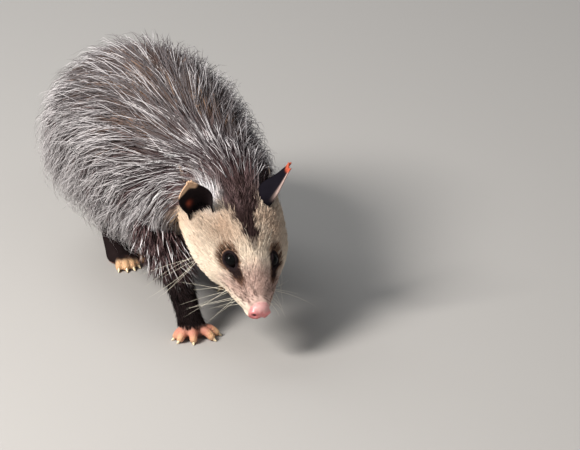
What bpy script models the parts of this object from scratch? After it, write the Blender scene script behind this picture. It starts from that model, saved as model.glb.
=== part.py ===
"""Virginia opossum at life size, walking with its head low, as a still figure.

The animal faces -Y and its left side is +X. Sizes are in millimetres and are
turned into metres when a mesh is made. The body is one set of rings from the
back of the head to the root of the tail, measured out to the tips of the coat;
the neck and the torso are cut from it, and the locks of the coat lie along it.
"""

import math
import random

import bmesh
import bpy
import numpy as np

MM = 0.001
GAP = 0.3
FIT = 0.45
SEED = 41
NECK_SEED = 5
ROUND = 2.2
BELLY_ROUND = 2.6

# Head pose in degrees, and the place of the tip of the nose
HEAD_PITCH = 34.0
HEAD_YAW = -3.0
HEAD_ROLL = 11.0
NOSE_TIP = (-3.3, -212.0, 39.0)

# Head rings: back from the nose, centre height, half width, rise, drop, roundness of the top
HEAD_RINGS = (
    (8, 0.5, 9.0, 7.4, 8.0, 2.2),
    (14, 0, 12, 9, 10.5, 2.0),
    (26, 2, 18, 12, 15, 1.7),
    (36, 4, 24, 14.5, 20, 1.4),
    (46, 5, 31, 17, 28, 1.3),
    (60, 6, 38.5, 20, 33.5, 1.4),
    (76, 6, 42.5, 22.5, 36, 1.7),
    (92, 6, 43.5, 24, 35, 2.0),
    (104, 6, 42, 25, 34, 2.2),
)
HEAD_END = 104.0

# Body rings: x, y, z, half width, rise, drop, depth of the coat, tilt share
BODY_RINGS = (
    (None, None, None, 42, 25, 34, 5, 1.0),
    (-1, -114, 102, 50, 39, 43, 13, 0.5),
    (0, -98, 99, 60, 50, 55, 18, 0.0),
    (0, -74, 98, 70, 59, 65, 21, 0.0),
    (0, -42, 102, 78, 66, 74, 22, 0.0),
    (0, -6, 106, 81, 73, 77, 22, 0.0),
    (0, 35, 108, 83, 75, 78, 22, 0.0),
    (0, 75, 105, 80, 72, 73, 22, 0.0),
    (0, 108, 98, 64, 60, 56, 20, 0.0),
    (0, 134, 88, 38, 38, 35, 12, 0.0),
    (0, 152, 80, 18, 18, 18, 5, 0.0),
)
NECK_START = 0
TORSO_START = 2
BODY_END = len(BODY_RINGS) - 1

# Locks of the coat: how far apart, how large, how deep the root, rise for each mm of length
LOCK_ROWS = 22.0
LOCK_APART = 26.5
LOCK_LENGTH = 72.0
LOCK_WIDTH = 24.0
LOCK_THICK = 3.2
ROOT_SUNK = 4.0
NECK_SUNK = 2.4
LOCK_RISE = 0.26
CORE_CLEAR = 0.5
TORSO_ROW = -89.5
NECK_ROWS = (-135.0, -123.0)
LOCK_PROFILE = ((0.0, 0.7, 1.1), (0.3, 1.0, 1.0), (0.58, 0.88, 0.8), (0.82, 0.5, 0.5))
LEG_ROOM = 1.5

EYE_PLACE = (16.2, 46.0, 10.5)
EYE_RADIUS = 6.2
EYE_LOOK = (0.66, -0.34, 0.67)

# Ears: root, tip and the way the cup faces, all in the head's own axes
EARS = {
    "right": ((-36, 86, 21), (-50, 96, 43), (-0.50, -0.56, 0.66)),
    "left": ((27, 97, 21), (35, 104, 53), (0.9, -0.35, 0.1)),
}
EAR_THICK = 1.3
EAR_WIDE = 13.0

# Legs: x, y, z, half width, half length of each level ring, top first
FORE_LEG = {
    "right": ((-39, -78, 86, 17, 19), (-39, -92, 68, 16, 17), (-37, -107, 50, 11.5, 12.5),
              (-35, -124, 33, 10, 10.5), (-34, -136, 18, 9.5, 9.5), (-33, -138.5, 13, 9.8, 9.5)),
    "left": ((40, -60, 84, 15, 17), (40, -60, 66, 13, 15), (39, -58, 48, 11.5, 12.5),
             (39, -53, 32, 10, 10.5), (40, -50, 18, 9.5, 9.5), (41, -51, 13, 9.8, 9.5)),
}
HIND_LEG = {
    "right": ((-40, 20, 88, 20, 26), (-39, 25, 70, 16, 20), (-36, 36, 52, 11.5, 14),
              (-32, 45, 38, 9.5, 10.5), (-30, 47, 27, 8.8, 9.2)),
    "left": ((42, 60, 88, 20, 26), (41, 68, 70, 16, 20), (38, 82, 50, 11, 14),
             (34, 91, 34, 9, 10), (32, 90, 21, 8.5, 9.5)),
}

# Middle of each fore foot, and level rings of each hind foot below the ankle
FORE_FOOT = {"right": (-32, -139), "left": (41, -52)}
HIND_FOOT = {
    "right": ((-29.5, 41.5, 16, 9.2, 11), (-28.8, 36, 8.5, 9.8, 12.5), (-28.5, 33, 3.5, 10.2, 12),
              (-28.5, 32, -1.5, 8.5, 10.5)),
    "left": ((31.5, 92, 14, 8.8, 12.5), (31, 88, 8, 9.4, 17), (30.5, 86, 3.5, 9.8, 18.5),
             (30.5, 86, -1.5, 8, 16.5)),
}

# Digits of a fore foot and of a hind foot: angle towards the midline from straight ahead, reach
FORE_DIGITS = ((-84, 17), (-58, 18.5), (-18, 17.5), (38, 20), (70, 21))
HIND_DIGITS = ((-22, 24), (-7, 25), (8, 24), (24, 22))
DIGIT_RADIUS = 3.7

# Tail: x, y, z, radius
TAIL_PATH = (
    (0, 152, 80, 13.5), (3, 178, 60, 12.2), (8, 203, 41, 10.8), (17, 230, 26, 9.6),
    (31, 258, 17, 8.5), (52, 281, 12.5, 7.4), (78, 296, 11, 6.3), (105, 300, 11, 5.2),
    (130, 293, 13, 4.2), (148, 277, 17, 3.2), (153, 259, 23, 2.3),
)
TAIL_CUTS = (0, 3.4, 6.8, len(TAIL_PATH) - 1)

COLOURS = {
    "coat": (0.20, 0.17, 0.16),
    "nape": (0.33, 0.30, 0.28),
    "face": (0.80, 0.74, 0.64),
    "nose": (0.83, 0.50, 0.45),
    "leg": (0.05, 0.04, 0.04),
    "foot": (0.72, 0.50, 0.42),
    "eye": (0.01, 0.01, 0.01),
    "ear": (0.06, 0.055, 0.06),
    "tail_root": (0.10, 0.09, 0.09),
    "tail_bare": (0.74, 0.62, 0.56),
}
ROUGHNESS = {"eye": 0.08, "nose": 0.45, "foot": 0.55, "ear": 0.6, "tail_bare": 0.6}


def clear_scene():
    """Remove what the file opened with."""
    for item in list(bpy.data.objects):
        bpy.data.objects.remove(item, do_unlink=True)


def turn(pitch, yaw, roll):
    """Return the left, back and up directions of a tilted frame as columns."""
    p, y, r = (math.radians(value) for value in (pitch, yaw, roll))
    lean = np.array([[1, 0, 0],
                     [0, math.cos(p), -math.sin(p)],
                     [0, math.sin(p), math.cos(p)]])
    swing = np.array([[math.cos(y), -math.sin(y), 0],
                      [math.sin(y), math.cos(y), 0],
                      [0, 0, 1]])
    twist = np.array([[math.cos(r), 0, math.sin(r)],
                      [0, 1, 0],
                      [-math.sin(r), 0, math.cos(r)]])
    return swing @ lean @ twist


HEAD_FRAME = turn(HEAD_PITCH, HEAD_YAW, HEAD_ROLL)


def head_point(left, back, up):
    """Turn a point of the head, measured from the nose, into the body's axes."""
    return np.array(NOSE_TIP) + HEAD_FRAME @ np.array([left, back, up], float)


def smooth(rows, place):
    """Read a smooth curve through the rows at a fractional row number."""
    rows = np.asarray(rows, float)
    last = len(rows) - 1
    place = min(max(place, 0.0), float(last))
    low = min(int(place), last - 1)
    share = place - low
    before = rows[max(low - 1, 0)]
    after = rows[min(low + 2, last)]
    start, end = rows[low], rows[low + 1]
    slope_start = (end - before) * (0.5 if low > 0 else 1.0)
    slope_end = (after - start) * (0.5 if low + 2 <= last else 1.0)
    square, cube = share * share, share ** 3
    return ((2 * cube - 3 * square + 1) * start + (cube - 2 * square + share) * slope_start
            + (3 * square - 2 * cube) * end + (cube - square) * slope_end)


def oval(angle, half_width, rise, drop, top=ROUND, bottom=ROUND):
    """Return the side and height of a point of an oval, peaked or full above and below."""
    side, height = math.cos(angle), math.sin(angle)
    power = 2 / (top if height > 0 else bottom)
    side = math.copysign(abs(side) ** power, side)
    height = math.copysign(abs(height) ** power, height)
    return half_width * side, (rise if height > 0 else drop) * height


def body_rows():
    """Return the body's rings with the first one set on the back of the head."""
    rows = [list(row) for row in BODY_RINGS]
    rows[0][:3] = head_point(0, HEAD_END, 6)
    return np.array(rows, float)


BODY = body_rows()


def body_point(place, angle, shift):
    """Return a point of the body, shift outwards from the tips of the coat."""
    x, y, z, half_width, rise, drop, _, tilt = smooth(BODY, place)
    frame = turn(HEAD_PITCH * tilt, HEAD_YAW * tilt, HEAD_ROLL * tilt)
    full = ROUND + (BELLY_ROUND - ROUND) * (1 - tilt)
    side, height = oval(angle, half_width + shift, rise + shift, drop + shift, bottom=full)
    return np.array([x, y, z]) + frame @ np.array([side, 0, height])


def core_shift(place):
    """Return how far the core lies under the tips: a little over half the coat."""
    return -(smooth(BODY, place)[6] / 2 + CORE_CLEAR)


def place_for(y, angle):
    """Return the place along the body where the core passes a given y."""
    low, high = 0.0, float(BODY_END)
    for _ in range(24):
        middle = (low + high) / 2
        if body_point(middle, angle, core_shift(middle))[1] < y:
            low = middle
        else:
            high = middle
    return (low + high) / 2


def new_object(name, points, faces):
    """Make a mesh object from points in millimetres."""
    mesh = bpy.data.meshes.new(name)
    mesh.from_pydata([tuple(float(v) * MM for v in point) for point in points], [], faces)
    mesh.update()
    thing = bpy.data.objects.new(name, mesh)
    bpy.context.scene.collection.objects.link(thing)
    face_out(thing)
    return thing


def face_out(thing):
    """Turn the faces of a closed mesh outwards."""
    work = bmesh.new()
    work.from_mesh(thing.data)
    bmesh.ops.recalc_face_normals(work, faces=work.faces)
    if work.calc_volume(signed=True) < 0:
        bmesh.ops.reverse_faces(work, faces=work.faces)
    work.to_mesh(thing.data)
    work.free()


def loft(name, rings):
    """Join rings of equal count into one closed skin with flat ends."""
    count = len(rings[0])
    points = [point for ring in rings for point in ring]
    faces = []
    for row in range(len(rings) - 1):
        for k in range(count):
            a, b = row * count + k, row * count + (k + 1) % count
            faces += [(a, b, b + count), (a, b + count, a + count)]
    faces.append(tuple(range(count)))
    last = (len(rings) - 1) * count
    faces.append(tuple(last + k for k in range(count)))
    return new_object(name, points, faces)


def apply_modifiers(thing):
    """Replace the mesh by its evaluated result."""
    graph = bpy.context.evaluated_depsgraph_get()
    graph.update()
    result = bpy.data.meshes.new_from_object(thing.evaluated_get(graph))
    thing.modifiers.clear()
    thing.data = result


def boolean(thing, other, operation, solver="EXACT"):
    """Join or cut a closed mesh with another object or a collection of them."""
    step = thing.modifiers.new("shape", "BOOLEAN")
    step.operation = operation
    step.solver = solver
    if isinstance(other, bpy.types.Collection):
        step.operand_type = "COLLECTION"
        step.collection = other
    else:
        step.object = other
    apply_modifiers(thing)


def fuse(thing, pieces, solver="EXACT"):
    """Join loose closed pieces to a node with one union and drop the pieces."""
    group = bpy.data.collections.new("pieces")
    bpy.context.scene.collection.children.link(group)
    for piece in pieces:
        for holder in list(piece.users_collection):
            holder.objects.unlink(piece)
        group.objects.link(piece)
    boolean(thing, group, "UNION", solver)
    for piece in list(group.objects):
        bpy.data.objects.remove(piece, do_unlink=True)
    bpy.data.collections.remove(group)
    keep_largest(thing)


def cut_away(thing, cutters):
    """Cut closed pieces out of a node and drop the cutters."""
    for cutter in cutters:
        boolean(thing, cutter, "DIFFERENCE")
        bpy.data.objects.remove(cutter, do_unlink=True)
    keep_largest(thing)


def keep_largest(thing):
    """Keep the largest closed surface of a mesh."""
    work = bmesh.new()
    work.from_mesh(thing.data)
    bmesh.ops.remove_doubles(work, verts=work.verts, dist=0.0005 * MM)
    left = set(work.faces)
    shells = []
    while left:
        shell, front = set(), [left.pop()]
        while front:
            face = front.pop()
            shell.add(face)
            for edge in face.edges:
                for near in edge.link_faces:
                    if near in left:
                        left.discard(near)
                        front.append(near)
        shells.append(shell)
    shells.sort(key=len, reverse=True)
    spare = [face for shell in shells[1:] for face in shell]
    bmesh.ops.delete(work, geom=spare, context="FACES")
    loose = [vert for vert in work.verts if not vert.link_faces]
    bmesh.ops.delete(work, geom=loose, context="VERTS")
    work.to_mesh(thing.data)
    work.free()
    face_out(thing)


def swollen(thing, by):
    """Return a copy of a plain form, moved out along its own normals."""
    work = bmesh.new()
    work.from_mesh(thing.data)
    work.normal_update()
    for vert in work.verts:
        vert.co += vert.normal * by * MM
    mesh = bpy.data.meshes.new("clearance")
    work.to_mesh(mesh)
    work.free()
    copy = bpy.data.objects.new("clearance", mesh)
    bpy.context.scene.collection.objects.link(copy)
    return copy


def slice_flat(thing, point, normal):
    """Cut away what lies on the normal's side of a plane and close the cut."""
    work = bmesh.new()
    work.from_mesh(thing.data)
    cut = bmesh.ops.bisect_plane(
        work, geom=work.verts[:] + work.edges[:] + work.faces[:], dist=1e-7,
        plane_co=[v * MM for v in point], plane_no=normal, clear_outer=True)
    edges = [item for item in cut["geom_cut"] if isinstance(item, bmesh.types.BMEdge)]
    bmesh.ops.holes_fill(work, edges=edges, sides=0)
    work.to_mesh(thing.data)
    work.free()
    keep_largest(thing)


def paint(thing, finish, bend=40.0):
    """Give a node its own material and round shading."""
    material = bpy.data.materials.new(thing.name)
    material.use_nodes = True
    shader = material.node_tree.nodes["Principled BSDF"]
    shader.inputs["Base Color"].default_value = (*COLOURS[finish], 1.0)
    shader.inputs["Roughness"].default_value = ROUGHNESS.get(finish, 0.85)
    shader.inputs["Metallic"].default_value = 0.0
    thing.data.materials.clear()
    thing.data.materials.append(material)
    thing.data.shade_smooth()
    thing.data.set_sharp_from_angle(angle=math.radians(bend))


def ellipsoid(name, centre, radii, frame=None, around=12, levels=6):
    """Make a closed ellipsoid, its poles on the third axis of its frame."""
    frame = np.eye(3) if frame is None else frame
    points, faces = [], []
    for level in range(1, levels):
        tilt = math.pi * level / levels
        for k in range(around):
            turn_by = 2 * math.pi * k / around
            local = (math.sin(tilt) * math.cos(turn_by), math.sin(tilt) * math.sin(turn_by),
                     math.cos(tilt))
            points.append(np.array(centre) + frame @ (np.array(local) * radii))
    top, bottom = len(points), len(points) + 1
    points.append(np.array(centre) + frame @ (np.array([0, 0, 1.0]) * radii))
    points.append(np.array(centre) + frame @ (np.array([0, 0, -1.0]) * radii))
    for level in range(levels - 2):
        for k in range(around):
            a, b = level * around + k, level * around + (k + 1) % around
            faces.append((a, b, b + around, a + around))
    for k in range(around):
        faces.append((top, (k + 1) % around, k))
        base = (levels - 2) * around
        faces.append((bottom, base + k, base + (k + 1) % around))
    return new_object(name, points, faces)


def tube(name, path, radii, sides=6):
    """Sweep a round section along a path of points."""
    path = [np.array(point, float) for point in path]
    rings = []
    side = None
    for k, point in enumerate(path):
        ahead = path[min(k + 1, len(path) - 1)] - path[max(k - 1, 0)]
        ahead /= np.linalg.norm(ahead)
        if side is None:
            start = np.array([0, 0, 1.0]) if abs(ahead[2]) < 0.9 else np.array([1.0, 0, 0])
            side = np.cross(ahead, start)
        side = side - ahead * side.dot(ahead)
        side /= np.linalg.norm(side)
        other = np.cross(ahead, side)
        rings.append([point + radii[k] * (side * math.cos(a) + other * math.sin(a))
                      for a in (2 * math.pi * j / sides for j in range(sides))])
    return loft(name, rings)


def level_ring(x, y, z, half_width, half_length, count=14):
    """Return a level oval ring."""
    return [np.array([x + half_width * math.cos(a), y + half_length * math.sin(a), z])
            for a in (2 * math.pi * k / count for k in range(count))]


def head_side(back, angle, shift=0.0):
    """Return a point of the head's surface at an angle from straight left, in degrees."""
    places = [row[0] for row in HEAD_RINGS]
    place = np.interp(back, places, range(len(places)))
    _, height, half_width, rise, drop, top = smooth(HEAD_RINGS, place)
    side, up = oval(math.radians(angle), half_width + shift, rise + shift, drop + shift, top)
    return side, back, height + up


def mouth_line(lift):
    """Return the line of the mouth from corner to corner, moved up or down."""
    half = [head_side(54, -30, -1.8)]
    for back, angle in ((47, -32), (37, -36), (28, -40), (20, -47), (14, -56)):
        half.append(head_side(back, angle, -0.2))
    half.append((6.6, 7.6, -8.0))
    other = [(-left, back, up) for left, back, up in reversed(half)]
    line = half + [(0.0, 4.8, -8.1)] + other
    return [head_point(left, back, up + lift) for left, back, up in line]


def head_solid(name, shift=0.0, count=26):
    """Return the plain closed form of the head, shift outwards."""
    start = HEAD_RINGS[0][0]
    steps = [start + (HEAD_END - GAP / 2 - start) * k / 14 for k in range(15)]
    return loft(name, [[head_point(*head_side(back, 360 * k / count, shift))
                        for k in range(count)] for back in steps])


def eye_frame(sign):
    """Return the frame of an eye, its third axis looking out."""
    look = HEAD_FRAME @ np.array([EYE_LOOK[0] * sign, EYE_LOOK[1], EYE_LOOK[2]])
    look /= np.linalg.norm(look)
    along = HEAD_FRAME @ np.array([0.0, 1.0, 0.0])
    along -= look * along.dot(look)
    along /= np.linalg.norm(along)
    return np.column_stack([along, np.cross(look, along), look])


def lid_ring(sign):
    """Make the lids of one eye as a thin almond ring around the eyeball."""
    centre = head_point(EYE_PLACE[0] * sign, EYE_PLACE[1], EYE_PLACE[2])
    frame = eye_frame(sign)
    count, section = 14, 5
    points, faces = [], []
    for k in range(count):
        a = 2 * math.pi * k / count
        wide, tall = 6.0 * math.cos(a), 4.9 * math.sin(a)
        outward = np.array([wide, tall, 0.0])
        outward /= np.linalg.norm(outward)
        rest = np.array([wide, tall, 4.6 - 0.9 * abs(math.cos(a)) ** 2])
        for j in range(section):
            b = 2 * math.pi * j / section
            local = rest + outward * 1.3 * math.cos(b) + np.array([0, 0, 1.2 * math.sin(b)])
            points.append(centre + frame @ local)
    for k in range(count):
        for j in range(section):
            a, b = k * section, ((k + 1) % count) * section
            faces.append((a + j, b + j, b + (j + 1) % section, a + (j + 1) % section))
    return new_object("lid", points, faces)


def make_head():
    """Head with the sockets and lids of the eyes, lips and the line of the mouth."""
    head = head_solid("head")
    chin = ellipsoid("chin", head_point(0, 15.5, -7.0), (8.6, 11.5, 6.2), HEAD_FRAME)
    fuse(head, [chin])
    full = len(mouth_line(0)) - 4
    lips = [tube("lip", mouth_line(lift), [0.6, 1.1] + [1.5] * full + [1.1, 0.6], 5)
            for lift in (1.4, -1.5)]
    fuse(head, lips + [lid_ring(1), lid_ring(-1)])
    cutters = [tube("mouth", mouth_line(0), [0.5, 0.7] + [0.85] * full + [0.7, 0.5], 5)]
    for sign in (1, -1):
        centre = head_point(EYE_PLACE[0] * sign, EYE_PLACE[1], EYE_PLACE[2])
        frame = eye_frame(sign)
        cutters.append(ellipsoid("socket", centre, (EYE_RADIUS + GAP,) * 3, frame, 16, 9))
        cutters.append(ellipsoid("opening", centre + frame[:, 2] * 6.4, (5.2, 4.3, 3.6), frame))
    cut_away(head, cutters)
    return head


def make_nose():
    """Bare nose pad, with a nostril on each side and a groove down the middle."""
    nose = ellipsoid("nose", head_point(0, 7.5, 0.6), (8.2, 7.5, 6.6), HEAD_FRAME, 14, 7)
    bulbs = [ellipsoid("bulb", head_point(4.4 * s, 4.6, -0.4), (4.4, 4.2, 4.4), HEAD_FRAME,
                       8, 6) for s in (1, -1)]
    fuse(nose, bulbs)
    cutters = []
    for sign in (1, -1):
        hole = turn(HEAD_PITCH, HEAD_YAW, HEAD_ROLL + 25 * sign)
        cutters.append(ellipsoid("nostril", head_point(6.4 * sign, 2.2, -0.8), (1.5, 3.6, 2.1), hole,
                                 8, 5))
    cutters.append(tube("groove", [head_point(0, 2.6, 6.0), head_point(0, 0.1, 2.5),
                                   head_point(0, 0.3, -1.6), head_point(0, 3.0, -6.0)],
                        [0.7] * 4, 5))
    cut_away(nose, cutters)
    slice_flat(nose, head_point(0, HEAD_RINGS[0][0] - GAP, 0), HEAD_FRAME[:, 1])
    return nose


def make_eye(side, sign):
    """Eyeball, whole, in its socket."""
    centre = head_point(EYE_PLACE[0] * sign, EYE_PLACE[1], EYE_PLACE[2])
    return ellipsoid("eye_" + side, centre, (EYE_RADIUS,) * 3, eye_frame(sign), 16, 9)


def make_ear(side, root, tip, facing):
    """Thin cupped ear, a leaf bent round its length, rooted in the head."""
    root = head_point(*root)
    up = head_point(*tip) - root
    length = np.linalg.norm(up)
    up /= length
    front = HEAD_FRAME @ np.array(facing, float)
    front -= up * front.dot(up)
    front /= np.linalg.norm(front)
    across = np.cross(up, front)
    levels, columns = 7, 8
    sheets = []
    for shift in (0.0, EAR_THICK):
        sheet = []
        for i in range(levels):
            v = -0.22 + 1.22 * i / (levels - 1)
            width = EAR_WIDE * max(0.10, math.sin(math.pi * min(0.26 + 0.74 * max(v, 0.0), 0.955)))
            width *= 1.0 if v > 0 else 0.95
            bend = 1.7 - 1.0 * min(max(v, 0.0) * 1.6, 1.0)
            for j in range(columns):
                a = bend * (2 * j / (columns - 1) - 1)
                reach = width / math.sin(min(bend, math.pi / 2))
                thick = shift * (1.0 if v > 0.1 else 1.6)
                local = (across * (reach + thick) * math.sin(a)
                         - front * ((reach + thick) * math.cos(a) - reach * math.cos(bend))
                         + up * (length * v))
                sheet.append(root + local)
        sheets.append(sheet)
    points = sheets[0] + sheets[1]
    half = len(sheets[0])
    faces = []
    for i in range(levels - 1):
        for j in range(columns - 1):
            a, b = i * columns + j, i * columns + j + 1
            c, d = b + columns, a + columns
            faces += [(a, b, c), (a, c, d), (half + a, half + c, half + b),
                      (half + a, half + d, half + c)]
    rim = [j for j in range(columns)] + [i * columns + columns - 1 for i in range(1, levels)]
    rim += [(levels - 1) * columns + j for j in range(columns - 2, -1, -1)]
    rim += [i * columns for i in range(levels - 2, 0, -1)]
    for k, a in enumerate(rim):
        b = rim[(k + 1) % len(rim)]
        faces += [(a, half + b, b), (a, half + a, half + b)]
    return new_object("ear_" + side, points, faces)


def body_solid(name, first, last, count=24):
    """Return the closed core of the body between two of its rings."""
    rows = int((last - first) * 2) + 1
    rings = []
    for k in range(rows):
        place = first + (last - first) * k / (rows - 1)
        rings.append([body_point(place, 2 * math.pi * j / count, core_shift(place))
                      for j in range(count)])
    for ring, sign in ((rings[0], 1), (rings[-1], -1)):
        normal = np.cross(ring[count // 4] - ring[0], ring[count // 2] - ring[0])
        normal /= np.linalg.norm(normal)
        normal *= math.copysign(1.0, normal[1])
        for point in ring:
            point += normal * sign * GAP / 2
    return loft(name, rings)


def in_leg(point):
    """Say whether a point lies in or close to the open part of a leg."""
    for rows in list(FORE_LEG.values()) + list(HIND_LEG.values()):
        for upper, lower in zip(rows, rows[1:]):
            if lower[2] <= point[2] <= upper[2]:
                share = (point[2] - lower[2]) / (upper[2] - lower[2])
                x, y, _, wide, long = (a + (b - a) * share for a, b in zip(lower, upper))
                aside = (point[0] - x) / (wide + LEG_ROOM)
                along = (point[1] - y) / (long + LEG_ROOM)
                if aside ** 2 + along ** 2 < 1:
                    return True
    return False


def lie_of_coat(angle):
    """Return how far the coat turns down from straight back, in radians."""
    return math.radians(8 + 30 * math.sqrt(max(0.0, 1 - math.sin(angle) ** 2)))


def lock_rings(place, angle, length, width, curl, sunk):
    """Return the sections and the tip of one flat lock laid along the body."""
    down = -1.0 if math.cos(angle) > 0 else 1.0
    lie = lie_of_coat(angle)
    stops = [row[0] for row in LOCK_PROFILE] + [1.0]
    rings, gone = [], 0.0
    for k, stop in enumerate(stops):
        along = np.linalg.norm(body_point(place + 0.05, angle, 0)
                               - body_point(place - 0.05, angle, 0)) / 0.1
        around = np.linalg.norm(body_point(place, angle + 0.05, 0)
                                - body_point(place, angle - 0.05, 0)) / 0.1
        turn_by = lie + curl * stop
        heading = (math.cos(turn_by), down * math.sin(turn_by))
        if k:
            step = (stop - gone) * length
            place += heading[0] * step / along
            angle += heading[1] * step / around
            gone = stop
        if place > BODY_END:
            return None
        thick = LOCK_THICK * (LOCK_PROFILE[k][2] if k < len(LOCK_PROFILE) else 0.0)
        height = core_shift(place) - sunk + LOCK_RISE * stop * length
        height = min(height, -thick / 2)
        if k == len(LOCK_PROFILE):
            rings.append(body_point(place, angle, height))
            break
        half = width * LOCK_PROFILE[k][1] / 2
        sides = [body_point(place - sign * heading[1] * half / along,
                            angle + sign * heading[0] * half / around, height - 0.6)
                 for sign in (1, -1)]
        rings.append([sides[0], body_point(place, angle, height + thick / 2), sides[1],
                      body_point(place, angle, height - thick / 2)])
    return rings


def lock(place, angle, length, width, curl, sunk):
    """Make one lock, shortened where a leg is in its way, or nothing."""
    while length > 0.5 * LOCK_LENGTH:
        rings = lock_rings(place, angle, length, width, curl, sunk)
        if rings:
            spots = [point for ring in rings[:-1] for point in ring] + [rings[-1]]
            spots += [(a + b) / 2 for a, b in zip(spots, spots[4:])]
            if not any(in_leg(point) or point[2] < 4 for point in spots):
                break
        length -= 7
    else:
        return None
    points = [point for ring in rings[:-1] for point in ring] + [rings[-1]]
    faces = [(3, 2, 1, 0)]
    last = len(points) - 5
    for row in range(len(rings) - 2):
        for k in range(4):
            a, b = row * 4 + k, row * 4 + (k + 1) % 4
            faces += [(a, b, b + 4), (a, b + 4, a + 4)]
    faces += [(last + k, last + (k + 1) % 4, len(points) - 1) for k in range(4)]
    return new_object("lock", points, faces)


def coat_row(y, stagger, draw, lowest=-90, sunk=ROOT_SUNK):
    """Return the locks of one row round the body, above a lowest angle in degrees."""
    middle = place_for(y, math.pi / 2)
    ring = [body_point(middle, 2 * math.pi * k / 24, core_shift(middle)) for k in range(24)]
    girth = sum(np.linalg.norm(a - b) for a, b in zip(ring, ring[1:] + ring[:1]))
    count = max(6, round(girth / LOCK_APART))
    locks = []
    for k in range(count):
        angle = 2 * math.pi * (k + 0.5 * stagger + draw.uniform(-0.12, 0.12)) / count
        if math.sin(angle) < math.sin(math.radians(lowest)):
            continue
        place = place_for(y + draw.uniform(-2.0, 2.0), angle)
        root = body_point(place, angle, core_shift(place))
        if (root - BODY[0][:3]).dot(HEAD_FRAME[:, 1]) < 4:
            continue
        locks.append(lock(place, angle, LOCK_LENGTH * draw.uniform(0.85, 1.1),
                          LOCK_WIDTH * draw.uniform(0.9, 1.08),
                          math.radians(draw.uniform(-14, 14)), sunk))
    return [piece for piece in locks if piece]


def cover_torso(torso, draw):
    """Fuse the locks of the torso to its core, row after row towards the tail."""
    locks, y, row = [], TORSO_ROW, 0
    while y < BODY_RINGS[-1][1] - 18:
        locks += coat_row(y, row % 2, draw)
        y += LOCK_ROWS
        row += 1
    fuse(torso, locks)


def cover_neck(neck, draw):
    """Fuse the locks of the nape and the sides of the neck to its core."""
    locks = []
    for row, y in enumerate(NECK_ROWS):
        locks += coat_row(y, row % 2, draw, -20, NECK_SUNK)
    fuse(neck, locks)


def make_leg(name, rows):
    """Leg as one tapered form that runs up into the body."""
    steps = [k / 2 for k in range(2 * (len(rows) - 1) + 1)]
    return loft(name, [level_ring(*smooth(rows, step), count=12) for step in steps])


def digit(root, tip, radius):
    """Return the pieces of one clawed toe: an arched finger and its claw."""
    root, tip = np.array(root, float), np.array(tip, float)
    knuckle = root * 0.45 + tip * 0.55 + np.array([0, 0, 2.2])
    path = [root, knuckle, knuckle * 0.35 + tip * 0.65 + np.array([0, 0, 0.2]), tip]
    ahead = (tip - knuckle) / np.linalg.norm(tip - knuckle)
    start = tip - ahead * 2.0 + np.array([0, 0, 0.9])
    return [tube("toe", path, [radius * 1.1, radius, radius * 0.95, radius * 0.5], 7),
            tube("claw", [start, start + ahead * 4.6 + np.array([0, 0, -0.7])], [1.4, 0.4], 4)]


def make_fore_foot(side, sign):
    """Fore foot: palm and five spread digits with claws, on small flats."""
    x, y = FORE_FOOT[side]
    wrist = FORE_LEG[side][-1]
    rows = ((*wrist[:2], wrist[2] - GAP, *wrist[3:]), (x, y, 8.5, 10.5, 9.8),
            (x, y, 4, 10.8, 9.8), (x, y, -1.5, 8.5, 8))
    foot = loft("fore_foot_" + side, [level_ring(*row, count=12) for row in rows])
    pieces = []
    for angle, reach in FORE_DIGITS:
        a = math.radians(angle)
        ahead = np.array([math.sin(a) * -sign, -math.cos(a), 0])
        root = np.array([x, y, 5.6]) + ahead * 5
        tip = np.array([x, y, 2.7]) + ahead * reach
        pieces += digit(root, tip, DIGIT_RADIUS)
    fuse(foot, pieces)
    slice_flat(foot, (0, 0, 0), (0, 0, -1))
    return foot


def make_hind_foot(side, sign):
    """Hind foot: sole, four clawed toes and the clawless opposed great toe."""
    rows = HIND_FOOT[side]
    ankle = HIND_LEG[side][-1]
    top = (*ankle[:2], ankle[2] - GAP, *ankle[3:])
    foot = loft("hind_foot_" + side, [level_ring(*row, count=12) for row in (top, *rows)])
    x, y = rows[-1][0], rows[-1][1] - rows[-1][4] + 10
    pieces = []
    for angle, reach in HIND_DIGITS:
        a = math.radians(angle)
        ahead = np.array([math.sin(a) * -sign, -math.cos(a), 0])
        root = np.array([x, y, 5.4]) + ahead * 5
        tip = np.array([x, y, 2.7]) + ahead * reach
        pieces += digit(root, tip, DIGIT_RADIUS * 0.97)
    path = [(x - sign * 2, y + 5, 6.0), (x - sign * 12, y + 1, 6.6),
            (x - sign * 16, y - 7, 5.6), (x - sign * 14, y - 15, 3.4)]
    pieces.append(tube("great_toe", path, [4.6, 4.4, 4.0, 2.4], 7))
    fuse(foot, pieces)
    slice_flat(foot, (0, 0, 0), (0, 0, -1))
    return foot


def tail_ring(place, count=12):
    """Return a ring of the tail, square to its path."""
    x, y, z, radius = smooth(TAIL_PATH, place)
    ahead = smooth(TAIL_PATH, place + 0.05)[:3] - smooth(TAIL_PATH, place - 0.05)[:3]
    ahead /= np.linalg.norm(ahead)
    ahead = ahead * min(place, 1.0) + np.array([0, 1.0, 0]) * (1 - min(place, 1.0))
    ahead /= np.linalg.norm(ahead)
    side = np.cross(ahead, (0, 0, 1.0))
    side /= np.linalg.norm(side)
    other = np.cross(side, ahead)
    return [np.array([x, y, z]) + radius * (side * math.cos(a) + other * math.sin(a))
            for a in (2 * math.pi * k / count for k in range(count))], ahead


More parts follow.
